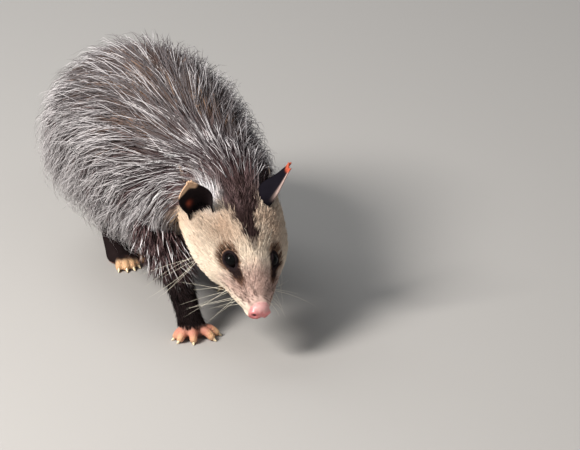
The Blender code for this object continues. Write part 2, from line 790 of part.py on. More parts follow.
def make_tail(name, first, last):
    """One length of the tail between two places on its path."""
    rows = int((last - first) * 2.5) + 1
    rings = []
    for k in range(rows):
        ring, ahead = tail_ring(first + (last - first) * k / (rows - 1))
        if k == 0:
            ring = [point + ahead * GAP / 2 for point in ring]
        if k == rows - 1:
            ring = [point - ahead * GAP / 2 for point in ring]
        rings.append(ring)
    return loft(name, rings)


def stand_in_middle():
    """Set every node so that the middle of the whole is over the origin."""
    things = bpy.data.objects[:]
    corners = np.array([thing.data.vertices[k].co[:] for thing in things
                        for k in range(len(thing.data.vertices))])
    middle = (corners.min(axis=0) + corners.max(axis=0)) / 2
    for thing in things:
        thing.location = (-middle[0], -middle[1], -corners[:, 2].min())


def build():
    """Make every node."""
    clear_scene()
    skull = head_solid("skull")
    head, nose = make_head(), make_nose()
    cut_away(head, [swollen(nose, GAP)])
    neck = body_solid("neck", NECK_START, TORSO_START)
    torso = body_solid("torso", TORSO_START, BODY_END)
    ears = [make_ear(side, *EARS[side]) for side in EARS]
    for ear in ears:
        cut_away(ear, [swollen(skull, FIT), swollen(neck, FIT)])
        paint(ear, "ear")
    bpy.data.objects.remove(skull, do_unlink=True)
    for side in ("left", "right"):
        for kind, rows in (("fore", FORE_LEG), ("hind", HIND_LEG)):
            leg = make_leg(kind + "_leg_" + side, rows[side])
            cut_away(leg, [swollen(neck, FIT), swollen(torso, FIT)])
            paint(leg, "leg")
    draw = random.Random(SEED)
    cover_torso(torso, draw)
    cover_neck(neck, random.Random(NECK_SEED))
    paint(head, "face")
    paint(neck, "nape")
    paint(torso, "coat")
    paint(nose, "nose")
    for side, sign in (("left", 1), ("right", -1)):
        paint(make_eye(side, sign), "eye")
        paint(make_fore_foot(side, sign), "foot")
        paint(make_hind_foot(side, sign), "foot")
    for name, first, last, finish in zip(("tail_base", "tail_middle", "tail_tip"), TAIL_CUTS,
                                         TAIL_CUTS[1:], ("tail_root", "tail_bare", "tail_bare")):
        paint(make_tail(name, first, last), finish)
    stand_in_middle()


build()
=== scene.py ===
"""Looks of a still, life-size Virginia opossum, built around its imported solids.

The animal faces -Y and its left side is +X. Shapes are worked out in
millimetres in the animal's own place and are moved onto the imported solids
when a mesh is made. One skin takes the place of the solids of flesh; the coat
lies over it as tapered tufts of solid mesh.
"""

import logging
import math
from dataclasses import dataclass, field
from enum import Enum

import bpy
import numpy as np
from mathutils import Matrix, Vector
from mathutils.kdtree import KDTree


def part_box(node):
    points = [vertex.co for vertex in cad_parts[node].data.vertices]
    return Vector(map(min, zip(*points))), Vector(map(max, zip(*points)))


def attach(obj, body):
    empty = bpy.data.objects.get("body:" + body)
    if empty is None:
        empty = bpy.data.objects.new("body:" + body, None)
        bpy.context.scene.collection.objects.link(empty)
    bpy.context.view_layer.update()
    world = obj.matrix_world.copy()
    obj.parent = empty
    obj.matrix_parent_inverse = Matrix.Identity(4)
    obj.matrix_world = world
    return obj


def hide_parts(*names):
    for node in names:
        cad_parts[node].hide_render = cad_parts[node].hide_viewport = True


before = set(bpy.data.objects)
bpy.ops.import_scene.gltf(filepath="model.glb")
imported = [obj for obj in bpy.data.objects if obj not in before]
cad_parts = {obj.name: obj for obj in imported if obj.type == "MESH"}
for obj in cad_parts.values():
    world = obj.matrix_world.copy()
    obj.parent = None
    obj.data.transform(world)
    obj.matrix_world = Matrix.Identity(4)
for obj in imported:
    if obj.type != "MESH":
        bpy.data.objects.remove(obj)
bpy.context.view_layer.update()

MM = 0.001
SEED = 17
TURN = 2 * math.pi
Array = np.ndarray
Colour = tuple[float, float, float]
Rows = tuple[tuple[float, ...], ...]
# Shares of a tuft's length at which it has a section, and how wide it is there
STOPS = np.array([0.0, 0.35, 0.7, 1.0])
TAPER = np.array([0.9, 1.0, 0.7, 0.0])
log = logging.getLogger("opossum")


class Side(Enum):
    """The two sides of the animal, with the sign of their X."""

    LEFT = 1
    RIGHT = -1

    @property
    def word(self) -> str:
        """Return the name that the nodes use for this side."""
        return self.name.lower()


class Grain(Enum):
    """The kinds of fine relief that a finish can have."""

    HAIR = "hair"
    PORES = "pores"
    CREASES = "creases"
    SCALES = "scales"
    SMOOTH = "smooth"


def fade(low: float | Array, high: float | Array, value: Array) -> Array:
    """Rise smoothly from 0 at the low value to 1 at the high value."""
    share = np.clip((value - low) / (high - low), 0.0, 1.0)
    return share * share * (3 - 2 * share)


def unit(vectors: Array) -> Array:
    """Return vectors at length one."""
    return vectors / np.maximum(np.linalg.norm(vectors, axis=-1, keepdims=True), 1e-9)


def blend(first: Array, second: Array, share: Array) -> Array:
    """Mix two colours by a share for each point."""
    return first + (np.asarray(second) - first) * np.asarray(share)[..., None]


def waves(points: Array, size: float, seed: int) -> Array:
    """Return a smooth irregular value from -1 to 1 that changes over a size in millimetres.

    Args:
        points: Places in millimetres, three in the last axis.
        size: Distance over which the value changes.
        seed: Number that picks the pattern.

    Returns:
        One value for each point.
    """
    draw = np.random.default_rng(seed)
    total = np.zeros(points.shape[:-1])
    for _ in range(6):
        way = unit(draw.normal(size=3)) * draw.uniform(0.6, 1.5) * TURN / size
        total += np.sin(points @ way + draw.uniform(0, TURN))
    return np.clip(total / 3.2, -1, 1)


def turned(pitch: float, yaw: float, roll: float) -> Array:
    """Return the left, back and up directions of a tilted frame as columns.

    Args:
        pitch: Degrees that the nose drops.
        yaw: Degrees to the left.
        roll: Degrees round the length.

    Returns:
        The three directions.
    """
    p, y, r = (math.radians(value) for value in (pitch, yaw, roll))
    lean = np.array([[1, 0, 0], [0, math.cos(p), -math.sin(p)], [0, math.sin(p), math.cos(p)]])
    swing = np.array([[math.cos(y), -math.sin(y), 0], [math.sin(y), math.cos(y), 0], [0, 0, 1]])
    twist = np.array([[math.cos(r), 0, math.sin(r)], [0, 1, 0], [-math.sin(r), 0, math.cos(r)]])
    return swing @ lean @ twist


def curve_at(rows: Array, place: Array) -> Array:
    """Read a smooth curve through rows at fractional row numbers.

    Args:
        rows: Table with one row of numbers for each station.
        place: Row numbers, whole or between.

    Returns:
        One row of numbers for each place.
    """
    rows = np.asarray(rows, float)
    last = len(rows) - 1
    place = np.clip(np.asarray(place, float), 0, last)
    low = np.minimum(place.astype(int), last - 1)
    share = (place - low)[..., None]
    start, end = rows[low], rows[low + 1]
    before, after = rows[np.maximum(low - 1, 0)], rows[np.minimum(low + 2, last)]
    first = (end - before) * np.where(low > 0, 0.5, 1.0)[..., None]
    second = (after - start) * np.where(low + 2 <= last, 0.5, 1.0)[..., None]
    square, cube = share**2, share**3
    return (
        (2 * cube - 3 * square + 1) * start
        + (cube - 2 * square + share) * first
        + (3 * square - 2 * cube) * end
        + (cube - square) * second
    )


def oval(
    angle: Array, wide: Array, rise: Array, drop: Array, top: Array, bottom: Array | float
) -> tuple[Array, Array]:
    """Return the side and height of points of an oval, peaked or full above and below.

    Args:
        angle: Angle from straight left over the top, in radians.
        wide: Half width.
        rise: Height above the middle.
        drop: Depth below it.
        top: Roundness above, 2 for an ellipse.
        bottom: Roundness below.

    Returns:
        Side and height of each point.
    """
    side, height = np.cos(angle), np.sin(angle)
    power = 2 / np.where(height > 0, top, bottom)
    side = np.sign(side) * np.abs(side) ** power
    height = np.sign(height) * np.abs(height) ** power
    return wide * side, np.where(height > 0, rise, drop) * height


@dataclass(frozen=True)
class HeadShape:
    """The pose and the rings of the head, as the solids have them."""

    pitch: float = 34.0
    yaw: float = -3.0
    roll: float = 11.0
    nose_tip: tuple[float, float, float] = (-3.3, -212.0, 39.0)
    # back from the nose, centre height, half width, rise, drop, roundness of the top
    rings: Rows = (
        (8, 0.5, 9.0, 7.4, 8.0, 2.2),
        (14, 0, 12, 9, 10.5, 2.0),
        (26, 2, 18, 12, 15, 1.7),
        (36, 4, 24, 14.5, 20, 1.4),
        (46, 5, 31, 17, 28, 1.3),
        (60, 6, 38.5, 20, 33.5, 1.4),
        (76, 6, 42.5, 22.5, 36, 1.7),
        (92, 6, 43.5, 24, 35, 2.0),
        (104, 6, 42, 25, 34, 2.2),
    )
    end: float = 104.0
    eye: tuple[float, float, float] = (16.2, 46.0, 10.5)
    eye_radius: float = 6.2
    eye_look: tuple[float, float, float] = (0.66, -0.34, 0.67)
    # back from the nose, depth of the fur over the skin
    fur: tuple[tuple[float, float], ...] = ((34, 0.0), (50, 0.8), (66, 2.6), (84, 4.0), (104, 4.4))

    def frame(self) -> Array:
        """Return the head's left, back and up as columns."""
        return turned(self.pitch, self.yaw, self.roll)

    def to_body(self, points: Array) -> Array:
        """Turn points measured from the nose into the animal's place."""
        return np.asarray(points, float) @ self.frame().T + self.nose_tip

    def to_head(self, points: Array) -> Array:
        """Turn points of the animal's place into the head's own axes."""
        return (np.asarray(points, float) - self.nose_tip) @ self.frame()

    def surface(self, back: Array, angle: Array, shift: Array | float = 0.0) -> Array:
        """Return points of the head's surface in its own axes.

        Args:
            back: Distance from the nose.
            angle: Angle from straight left over the top, in radians.
            shift: Distance out from the surface.

        Returns:
            Left, back and up of each point.
        """
        stations = [row[0] for row in self.rings]
        place = np.interp(back, stations, range(len(stations)))
        rows = curve_at(np.array(self.rings), place)
        height, wide, rise, drop, top = (rows[..., k] for k in range(1, 6))
        shift = shift - np.interp(back, *zip(*self.fur))
        side, up = oval(angle, wide + shift, rise + shift, drop + shift, top, 2.2)
        return np.stack(np.broadcast_arrays(side, back, height + up), axis=-1)

    def eye_centre(self, side: Side) -> Array:
        """Return the middle of an eyeball in the head's own axes."""
        return np.array(self.eye) * (side.value, 1, 1)

    def eye_frame(self, side: Side) -> Array:
        """Return the along, across and outward directions of an eye, in the head's own axes.

        Args:
            side: Which eye.

        Returns:
            The three directions as columns.
        """
        look = unit(np.array(self.eye_look) * (side.value, 1, 1))
        along = np.array([0.0, 1.0, 0.0])
        along = unit(along - look * along.dot(look))
        return np.column_stack([along, np.cross(look, along), look])


@dataclass(frozen=True)
class TrunkShape:
    """The rings of the neck and torso, out to the tips of the coat, and the core under it."""

    head: HeadShape = field(default_factory=HeadShape)
    core_clear: float = 0.5
    # x, y, z, half width, rise, drop, depth of the coat, tilt share
    rings: Rows = (
        (-1, -114, 102, 50, 39, 43, 13, 0.5),
        (0, -98, 99, 60, 50, 55, 18, 0.0),
        (0, -74, 98, 70, 59, 65, 21, 0.0),
        (0, -42, 102, 78, 66, 74, 22, 0.0),
        (0, -6, 106, 81, 73, 77, 22, 0.0),
        (0, 35, 108, 83, 75, 78, 22, 0.0),
        (0, 75, 105, 80, 72, 73, 22, 0.0),
        (0, 108, 98, 64, 60, 56, 20, 0.0),
        (0, 134, 88, 38, 38, 35, 12, 0.0),
        (0, 152, 80, 18, 18, 18, 5, 0.0),
    )
    # Beyond the rump the coat hangs on round the root of the tail
    hanging: Rows = (
        (2, 172, 64, 16, 16, 17, 4, 0.0),
        (6, 194, 47, 14, 14, 15, 4, 0.0),
        (11, 214, 33, 13, 13, 13, 4, 0.0),
    )
    grain: int = 40
    # How much thinner the body is than the solids behind the shoulders, and how it leans and peaks
    slim: float = 5.0
    lean: float = -3.5
    peak: float = 0.42

    @staticmethod
    def bulk(place: Array) -> Array:
        """Return how far each place belongs to the wide part behind the shoulders."""
        return fade(1.0, 4.5, place) * fade(10.2, 8.6, place)

    @property
    def last(self) -> float:
        """Return the place of the root of the tail."""
        return float(len(self.rings))

    def table(self) -> tuple[Array, Array]:
        """Return the stations, read closely, and the frame at each.

        Returns:
            The rows of numbers and the frames.
        """
        start = self.head.to_body(np.array([0, self.head.end, 6.0]))
        rows = np.array([(*start, 42, 25, 34, 5, 1.0), *self.rings, *self.hanging], float)
        places = np.arange((len(rows) - 1) * self.grain + 1) / self.grain
        close = curve_at(rows, places)
        pose = self.head
        frames = [turned(pose.pitch * t, pose.yaw * t, pose.roll * t) for t in close[:, 7]]
        return close, np.array(frames)

    def __post_init__(self) -> None:
        """Keep the close table, as every tuft reads it."""
        object.__setattr__(self, "kept", self.table())

    def read(self, place: Array) -> tuple[Array, Array]:
        """Return the station and frame at each place.

        Args:
            place: Places along the body.

        Returns:
            One row and one frame for each place.
        """
        close, frames = self.kept
        spot = np.clip(place * self.grain, 0, len(close) - 1.001)
        low = spot.astype(int)
        share = spot - low
        rows = close[low] + (close[low + 1] - close[low]) * share[..., None]
        turns = frames[low] + (frames[low + 1] - frames[low]) * share[..., None, None]
        return rows, turns

    def point(self, place: Array, angle: Array, height: Array | float) -> Array:
        """Return points over the core of the body.

        Args:
            place: Place along the body, in rings from the back of the head.
            angle: Angle from straight left over the top, in radians.
            height: Distance out from the core.

        Returns:
            Points in the animal's place.
        """
        place, angle = np.broadcast_arrays(np.asarray(place, float), np.asarray(angle, float))
        rows, turns = self.read(place)
        bulk = self.bulk(place)
        shift = height - self.depth(place)
        full = 2.2 + 0.4 * (1 - rows[..., 7])
        top = 2.2 - self.peak * bulk
        side, up = oval(angle, rows[..., 3] + shift, rows[..., 4] + shift, rows[..., 5] + shift, top, full)
        side = side + self.lean * bulk
        return rows[..., :3] + turns[..., :, 0] * side[..., None] + turns[..., :, 2] * up[..., None]

    def strides(self, place: Array, angle: Array) -> tuple[Array, Array]:
        """Return the millimetres for each unit of place and of angle.

        Args:
            place: Places along the body.
            angle: Angles round the body.

        Returns:
            Millimetres along and around.
        """
        step = 0.05
        along = self.point(place + step, angle, 0.0) - self.point(place - step, angle, 0.0)
        around = self.point(place, angle + step, 0.0) - self.point(place, angle - step, 0.0)
        return (
            np.maximum(np.linalg.norm(along, axis=-1) / (2 * step), 4.0),
            np.maximum(np.linalg.norm(around, axis=-1) / (2 * step), 4.0),
        )

    def outward(self, place: Array, angle: Array) -> Array:
        """Return the directions that point away from the core."""
        return unit(self.point(place, angle, 6.0) - self.point(place, angle, -6.0))

    def depth(self, place: Array) -> Array:
        """Return how far the tips of the coat stand over the core."""
        return self.read(place)[0][..., 6] / 2 + self.core_clear + self.slim * self.bulk(place)


HEAD = HeadShape()
TRUNK = TrunkShape()


def packed_offset() -> Array:
    """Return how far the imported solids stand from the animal's own place, in millimetres.

    Returns:
        The shift, left, back and up.
    """
    low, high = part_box("eye_right")
    middle = np.array([(a + b) / 2 for a, b in zip(low, high)]) / MM
    return middle - HEAD.to_body(HEAD.eye_centre(Side.RIGHT))


OFFSET = packed_offset()


@dataclass(frozen=True)
class Paint:
    """The colours of the animal, as linear light."""

    cream: Colour = (0.83, 0.72, 0.585)
    tan: Colour = (0.50, 0.35, 0.25)
    ginger: Colour = (0.62, 0.38, 0.20)
    brown: Colour = (0.10, 0.055, 0.045)
    black: Colour = (0.018, 0.013, 0.014)
    white: Colour = (0.85, 0.82, 0.83)
    rust: Colour = (0.19, 0.088, 0.045)
    crown: Colour = (0.036, 0.021, 0.020)
    under: Colour = (0.031, 0.017, 0.019)
    grey: Colour = (0.155, 0.100, 0.100)
    fawn: Colour = (0.30, 0.18, 0.11)
    snout: Colour = (0.62, 0.43, 0.37)
    nose: Colour = (0.70, 0.235, 0.235)
    # Nostril colour: the inner skin's red, darkened as painted shade of the openings
    nostril: Colour = (0.16, 0.015, 0.02)
    leg: Colour = (0.016, 0.011, 0.011)
    toe: Colour = (0.52, 0.215, 0.145)
    claw: Colour = (0.80, 0.66, 0.42)
    tail: Colour = (0.62, 0.47, 0.41)
    ear_blue: Colour = (0.008, 0.007, 0.010)
    ear_red: Colour = (0.42, 0.09, 0.05)
    ear_edge: Colour = (0.66, 0.44, 0.29)
    # Pale painted highlight along the left ear's edges
    ear_rim_highlight: Colour = (0.62, 0.45, 0.40)
    # Nose colours: the lower one is the nose's own deep red darkened by painted shade underneath; the upper
    # one is paler skin with a painted highlight on top
    nose_red_low_and_shade: Colour = (0.50, 0.12, 0.12)
    nose_pale_top_and_highlight: Colour = (0.72, 0.42, 0.39)
    toe_end: Colour = (0.68, 0.41, 0.22)
    sole: Colour = (0.55, 0.27, 0.2)
    whisker: Colour = (0.82, 0.77, 0.62)
    pupil: Colour = (0.004, 0.004, 0.004)
    iris: Colour = (0.007, 0.004, 0.004)
    floor: Colour = (0.38, 0.37, 0.355)


PAINT = Paint()


def crown_mark(head: Array) -> Array:
    """Return how dark the stripe of the forehead is at points of the head.

    Args:
        head: Points in the head's own axes.

    Returns:
        Shares from 0 to 1.
    """
    half = np.interp(head[..., 1], (40, 50, 60, 70, 78, 88, 104), (1.5, 2.6, 4.2, 5.4, 9.5, 16.0, 21.0))
    ragged = 1 + 0.35 * waves(head * (1, 0.4, 1), 6.0, 3)
    middle = np.interp(head[..., 1], (45, 75), (0.5, -1.5))
    across = 1 - fade(0.7 * half, 1.3 * half, np.abs(head[..., 0] - middle) * ragged)
    strength = np.interp(head[..., 1], (38, 48, 56, 62, 70, 80, 104), (0.0, 0.5, 0.95, 1.0, 1.0, 0.95, 0.95))
    return across * strength * fade(4.0, 12.0, head[..., 2])


def eye_mark(head: Array) -> tuple[Array, Array, Array]:
    """Return the black of the eye rings, the rust round them and the brown streaks ahead of them.

    Args:
        head: Points in the head's own axes.

    Returns:
        The three shares for each point.
    """
    dark, rust, patch = (np.zeros(head.shape[:-1]) for _ in range(3))
    for side in Side:
        centre = HEAD.eye_centre(side)
        frame_of_eye = HEAD.eye_frame(side)
        local = (head - centre) @ frame_of_eye
        flat = np.hypot(local[..., 0] / 1.22, local[..., 1] / 0.95)
        near = fade(-6.0, -2.5, local[..., 2])
        dark = np.maximum(dark, (1 - fade(5.9, 7.3, flat)) * near)
        ahead = np.clip(-local[..., 0], 0, 30)
        inwards = local[..., 1] * side.value
        corner = np.hypot(local[..., 0] + 8.2, inwards + 0.6)
        dark = np.maximum(dark, 0.9 * (1 - fade(1.2, 3.2, corner)) * near)
        spread = 4.4 - 0.08 * ahead
        aside = np.hypot(inwards - 0.08 * ahead, np.maximum(local[..., 0] + 2, 0))
        streak = (1 - fade(0.55 * spread, 1.35 * spread, aside * (1 + 0.2 * waves(head, 5, 9))))
        streak = streak * (1 - fade(11.0, 27.0, ahead))
        patch = np.maximum(patch, streak * fade(-20.0, -14.0, local[..., 2]))
        rust = np.maximum(rust, (1 - fade(6.6, 10.6, flat)) * 0.9 * near)
    return dark, rust, patch


def ear_foot(head: Array) -> Array:
    """Return how far points of the head lie in the bare black floor of an ear's cup.

    Args:
        head: Points in the head's own axes.

    Returns:
        Shares from 0 to 1.
    """
    share = np.zeros(head.shape[:-1])
    for ear in (RIGHT_EAR, LEFT_EAR):
        axes = np.column_stack(ear.axes())
        local = (head - np.array(ear.root, float)) @ axes
        flat = np.hypot(local[..., 0] / ear.wide, (local[..., 1] + ear.floor_back) / ear.floor_deep)
        near = fade(-16, -10, local[..., 2]) * fade(16, 12, local[..., 2])
        share = np.maximum(share, (1 - fade(0.82, 1.02, flat)) * near)
    return share


def head_colour(head: Array) -> Array:
    """Return the colour of the face's skin and fur.

    Args:
        head: Points in the head's own axes.

    Returns:
        Linear red, green and blue for each point.
    """
    left, back, up = head[..., 0], head[..., 1], head[..., 2]
    angle = np.arctan2(up - 4, np.abs(left))
    colour = np.broadcast_to(np.array(PAINT.cream), head.shape).copy()
    top = fade(0.25, 1.0, angle)
    brow = top * fade(38, 60, back) * (0.62 + 0.25 * waves(head, 22, 5))
    brow += 0.4 * np.exp(-(((np.abs(left) - 21) / 8) ** 2) - ((back - 63) / 10) ** 2) * fade(0, 0.4, angle)
    colour = blend(colour, PAINT.tan, np.clip(brow, 0, 1))
    temple = fade(44, 62, back) * fade(-0.35, 0.1, angle) * fade(0.95, 0.45, angle)
    colour = blend(colour, PAINT.tan, temple * (0.42 + 0.2 * waves(head, 16, 51)))
    cheek = fade(66, 92, back) * fade(0.15, -0.35, angle) * fade(-1.15, -0.7, angle)
    colour = blend(colour, PAINT.ginger, 0.6 * cheek)
    throat = fade(-0.75, -1.2, angle) * fade(30, 60, back)
    colour = blend(colour, PAINT.tan, 0.35 * throat)
    mottle = np.clip(0.35 + 0.9 * waves(head, 4.2, 8), 0, 1)
    muzzle = fade(44, 26, back) * fade(-0.6, 0.0, angle)
    ridge = fade(0.9, 1.3, angle)
    speckled = blend(np.array(PAINT.snout), PAINT.brown, 0.52 * mottle * (1 - 0.6 * ridge))
    colour = blend(colour, speckled, 0.9 * muzzle)
    dots = fade(0.1, 0.5, waves(head, 3.0, 21)) * fade(9, 12, back) * fade(40, 28, back)
    colour = blend(colour, PAINT.brown, 0.75 * dots * fade(-1.1, -0.5, angle) * (1 - 0.5 * ridge))
    behind = fade(88, 98, back) * fade(-0.3, 0.1, angle)
    streaks = np.clip(0.75 + 0.7 * waves(head * (1, 0.35, 1), 4.0, 41), 0.1, 1)
    colour = blend(colour, PAINT.grey, behind * streaks)
    mark = crown_mark(head) * (1.08 + 0.1 * waves(head * (1, 0.4, 1), 3.5, 45))
    dull = fade(70, 86, back) * np.clip(0.4 + 0.9 * waves(head * (1, 0.3, 1), 5.0, 47), 0, 1)
    colour = blend(colour, blend(np.array(PAINT.crown), PAINT.grey, dull), np.clip(mark, 0, 1))
    patch_by_ear = np.exp(-(((left + 23) / 6.0) ** 2) - ((back - 92) / 9.5) ** 2)
    patch_by_ear += np.exp(-(((left - 22) / 4.5) ** 2) - ((back - 96) / 8) ** 2)
    colour = blend(colour, PAINT.white, np.clip(1.5 * patch_by_ear * fade(0.2, 0.6, angle), 0, 1))
    dark, halo, patch = eye_mark(head)
    colour = blend(colour, PAINT.rust, halo)
    colour = blend(colour, PAINT.rust, np.clip(2.4 * patch, 0, 0.85))
    colour = blend(colour, PAINT.crown, np.clip(1.5 * patch - 0.1, 0, 1))
    colour = blend(colour, PAINT.black, dark)
    chin = fade(26, 12, back) * fade(-0.2, -0.6, angle)
    colour = blend(colour, PAINT.cream, 0.7 * chin)
    bare = fade(10.6, 8.2, back + 0.2 * np.abs(left) + 0.5 * waves(head, 3.5, 33))
    # Painted light on the nose: darker towards the bottom as painted shade, paler on top as a painted
    # highlight, over its real red blending into the snout
    nose = blend(np.array(PAINT.nose_red_low_and_shade), PAINT.nose, fade(-6.0, -1.5, up))
    nose = blend(nose, PAINT.nose_pale_top_and_highlight, fade(1.5, 5.5, up) * (0.8 + 0.2 * waves(head, 3.0, 35)))
    colour = blend(colour, nose, bare)
    return blend(colour, PAINT.black, ear_foot(head))


def nape_colour(place: Array, angle: Array, points: Array) -> Array:
    """Return how the head's colours give way to the body's on the neck.

    Args:
        place: Places along the body.
        angle: Angles round the body.
        points: The points in the animal's place.

    Returns:
        One colour for each point.
    """
    head = HEAD.to_head(points)
    head[..., 1] = np.minimum(head[..., 1], HEAD.end)
    low = fade(0.6, -0.4, np.sin(angle))
    share = fade(-0.1, 0.5, place * (1.3 - 0.5 * low))
    streaks = np.clip(0.5 + 0.9 * waves(points * (1, 0.3, 0.6), 5.0, 43), 0, 1)
    return blend(head_colour(head), blend(np.array(PAINT.under), PAINT.grey, streaks), share)


@dataclass(frozen=True)
class Finish:
    """A procedural finish: the piece's own marks, fine variation and relief."""

    name: str
    grain: Grain
    rough: float
    size: float
    relief: float
    vary: float = 0.12
    sheen: float = 0.0
    coat: float = 0.0
    soft: float = 0.0
    shine: float = 0.5

    def material(self) -> bpy.types.Material:
        """Build the material, or return the one that is already built.

        Returns:
            A node material that reads the colour marks of the mesh.
        """
        made = bpy.data.materials.get(self.name)
        if made:
            return made
        made = bpy.data.materials.new(self.name)
        made.use_nodes = True
        tree = made.node_tree
        shader = tree.nodes["Principled BSDF"]
        for socket, value in (
            ("Roughness", self.rough),
            ("Specular IOR Level", self.shine),
            ("Sheen Weight", self.sheen),
            ("Coat Weight", self.coat),
            ("Coat Roughness", 0.15),
            ("Subsurface Weight", self.soft),
        ):
            shader.inputs[socket].default_value = value
        if self.soft:
            shader.inputs["Subsurface Radius"].default_value = (1.0, 0.35, 0.25)
            shader.inputs["Subsurface Scale"].default_value = 0.003
        marks = tree.nodes.new("ShaderNodeAttribute")
        marks.attribute_name = "mark"
        place = tree.nodes.new("ShaderNodeTexCoord")
        cloud = self.noise(tree, place, 1 / (self.size * 6), 3.0)
        shade = tree.nodes.new("ShaderNodeMapRange")
        shade.inputs["To Min"].default_value = 1 - self.vary
        shade.inputs["To Max"].default_value = 1 + self.vary
        tree.links.new(cloud.outputs["Fac"], shade.inputs["Value"])
        tone = tree.nodes.new("ShaderNodeVectorMath")
        tone.operation = "SCALE"
        tree.links.new(marks.outputs["Color"], tone.inputs[0])
        tree.links.new(shade.outputs["Result"], tone.inputs["Scale"])
        tree.links.new(tone.outputs["Vector"], shader.inputs["Base Color"])
        if self.relief:
            self.bump(tree, place, shader)
        return made

    def noise(
        self, tree: bpy.types.NodeTree, place: bpy.types.Node, scale: float, detail: float
    ) -> bpy.types.Node:
        """Add a noise that reads the piece's own coordinates.

        Args:
            tree: The material's nodes.
            place: The node that gives the piece's coordinates.
            scale: Cells in a metre.
            detail: How many finer layers it has.

        Returns:
            The noise node.
        """
        cloud = tree.nodes.new("ShaderNodeTexNoise")
        cloud.inputs["Scale"].default_value = scale
        cloud.inputs["Detail"].default_value = detail
        tree.links.new(place.outputs["Object"], cloud.inputs["Vector"])
        return cloud

    def bump(self, tree: bpy.types.NodeTree, place: bpy.types.Node, shader: bpy.types.Node) -> None:
        """Add the relief of the finish.

        Args:
            tree: The material's nodes.
            place: The node that gives the piece's coordinates.
            shader: The shader that takes the relief.
        """
        step = tree.nodes.new("ShaderNodeBump")
        step.inputs["Strength"].default_value = 0.8
        step.inputs["Distance"].default_value = self.relief
        if self.grain in (Grain.SCALES, Grain.CREASES):
            cells = tree.nodes.new("ShaderNodeTexVoronoi")
            cells.feature = "DISTANCE_TO_EDGE" if self.grain is Grain.SCALES else "F1"
            cells.inputs["Scale"].default_value = 1 / self.size
            tree.links.new(place.outputs["Object"], cells.inputs["Vector"])
            edge = tree.nodes.new("ShaderNodeMapRange")
            edge.inputs["From Max"].default_value = 0.12 if self.grain is Grain.SCALES else 0.8
            tree.links.new(cells.outputs["Distance"], edge.inputs["Value"])
            tree.links.new(edge.outputs["Result"], step.inputs["Height"])
        else:
            stretch = tree.nodes.new("ShaderNodeMapping")
            tree.links.new(place.outputs["Object"], stretch.inputs["Vector"])
            if self.grain is Grain.HAIR:
                stretch.inputs["Scale"].default_value = (1.0, 0.16, 0.3)
            cloud = self.noise(tree, place, 1 / self.size, 4.0)
            tree.links.new(stretch.outputs["Vector"], cloud.inputs["Vector"])
            tree.links.new(cloud.outputs["Fac"], step.inputs["Height"])
        tree.links.new(step.outputs["Normal"], shader.inputs["Normal"])


FACE_SKIN = Finish("face_short_fur", Grain.HAIR, 0.75, 0.0006, 0.0005, 0.16, shine=0.0)
NOSE_SKIN = Finish("nose_moist_skin", Grain.PORES, 0.40, 0.0006, 0.00030, 0.14, 0.0, 0.22, 0.2)
EAR_SKIN = Finish("ear_thin_leather", Grain.PORES, 0.62, 0.0010, 0.0002, 0.25, shine=0.0)
FOOT_SKIN = Finish("foot_creased_skin", Grain.CREASES, 0.55, 0.0011, 0.0005, 0.22, 0.0, 0.05, 0.15)
TAIL_SKIN = Finish("tail_scaled_skin", Grain.SCALES, 0.55, 0.0022, 0.00035, 0.14)
BODY_SKIN = Finish("body_underskin", Grain.PORES, 0.9, 0.003, 0.0003, 0.2)
LEG_SKIN = Finish("leg_short_fur", Grain.HAIR, 0.7, 0.0006, 0.0005, 0.3, shine=0.0)
EYE_GLOSS = Finish("eye_wet_black", Grain.SMOOTH, 0.07, 0.002, 0.0, 0.3, shine=0.06)
CLAW_HORN = Finish("claw_horn", Grain.PORES, 0.35, 0.0008, 0.0001, 0.15, 0.0, 0.2)
COAT_HAIR = Finish("coat_long_hair", Grain.SMOOTH, 0.6, 0.004, 0.0, 0.16, shine=0.03)
FACE_HAIR = Finish("face_tufts", Grain.SMOOTH, 0.7, 0.003, 0.0, 0.12, shine=0.05)
WHISKER_HAIR = Finish("whisker_hair", Grain.SMOOTH, 0.4, 0.004, 0.0, 0.1)


def closed_faces(rows: int, count: int) -> list[tuple[int, ...]]:
    """Return the faces of rings of equal count joined into one closed form.

    Args:
        rows: How many rings there are.
        count: Points in each ring.

    Returns:
        The corners of each face.
    """
    faces = []
    for row in range(rows - 1):
        for k in range(count):
            a, b = row * count + k, row * count + (k + 1) % count
            faces.append((a, b, b + count, a + count))
    faces.append(tuple(range(count))[::-1])
    faces.append(tuple((rows - 1) * count + k for k in range(count)))
    return faces


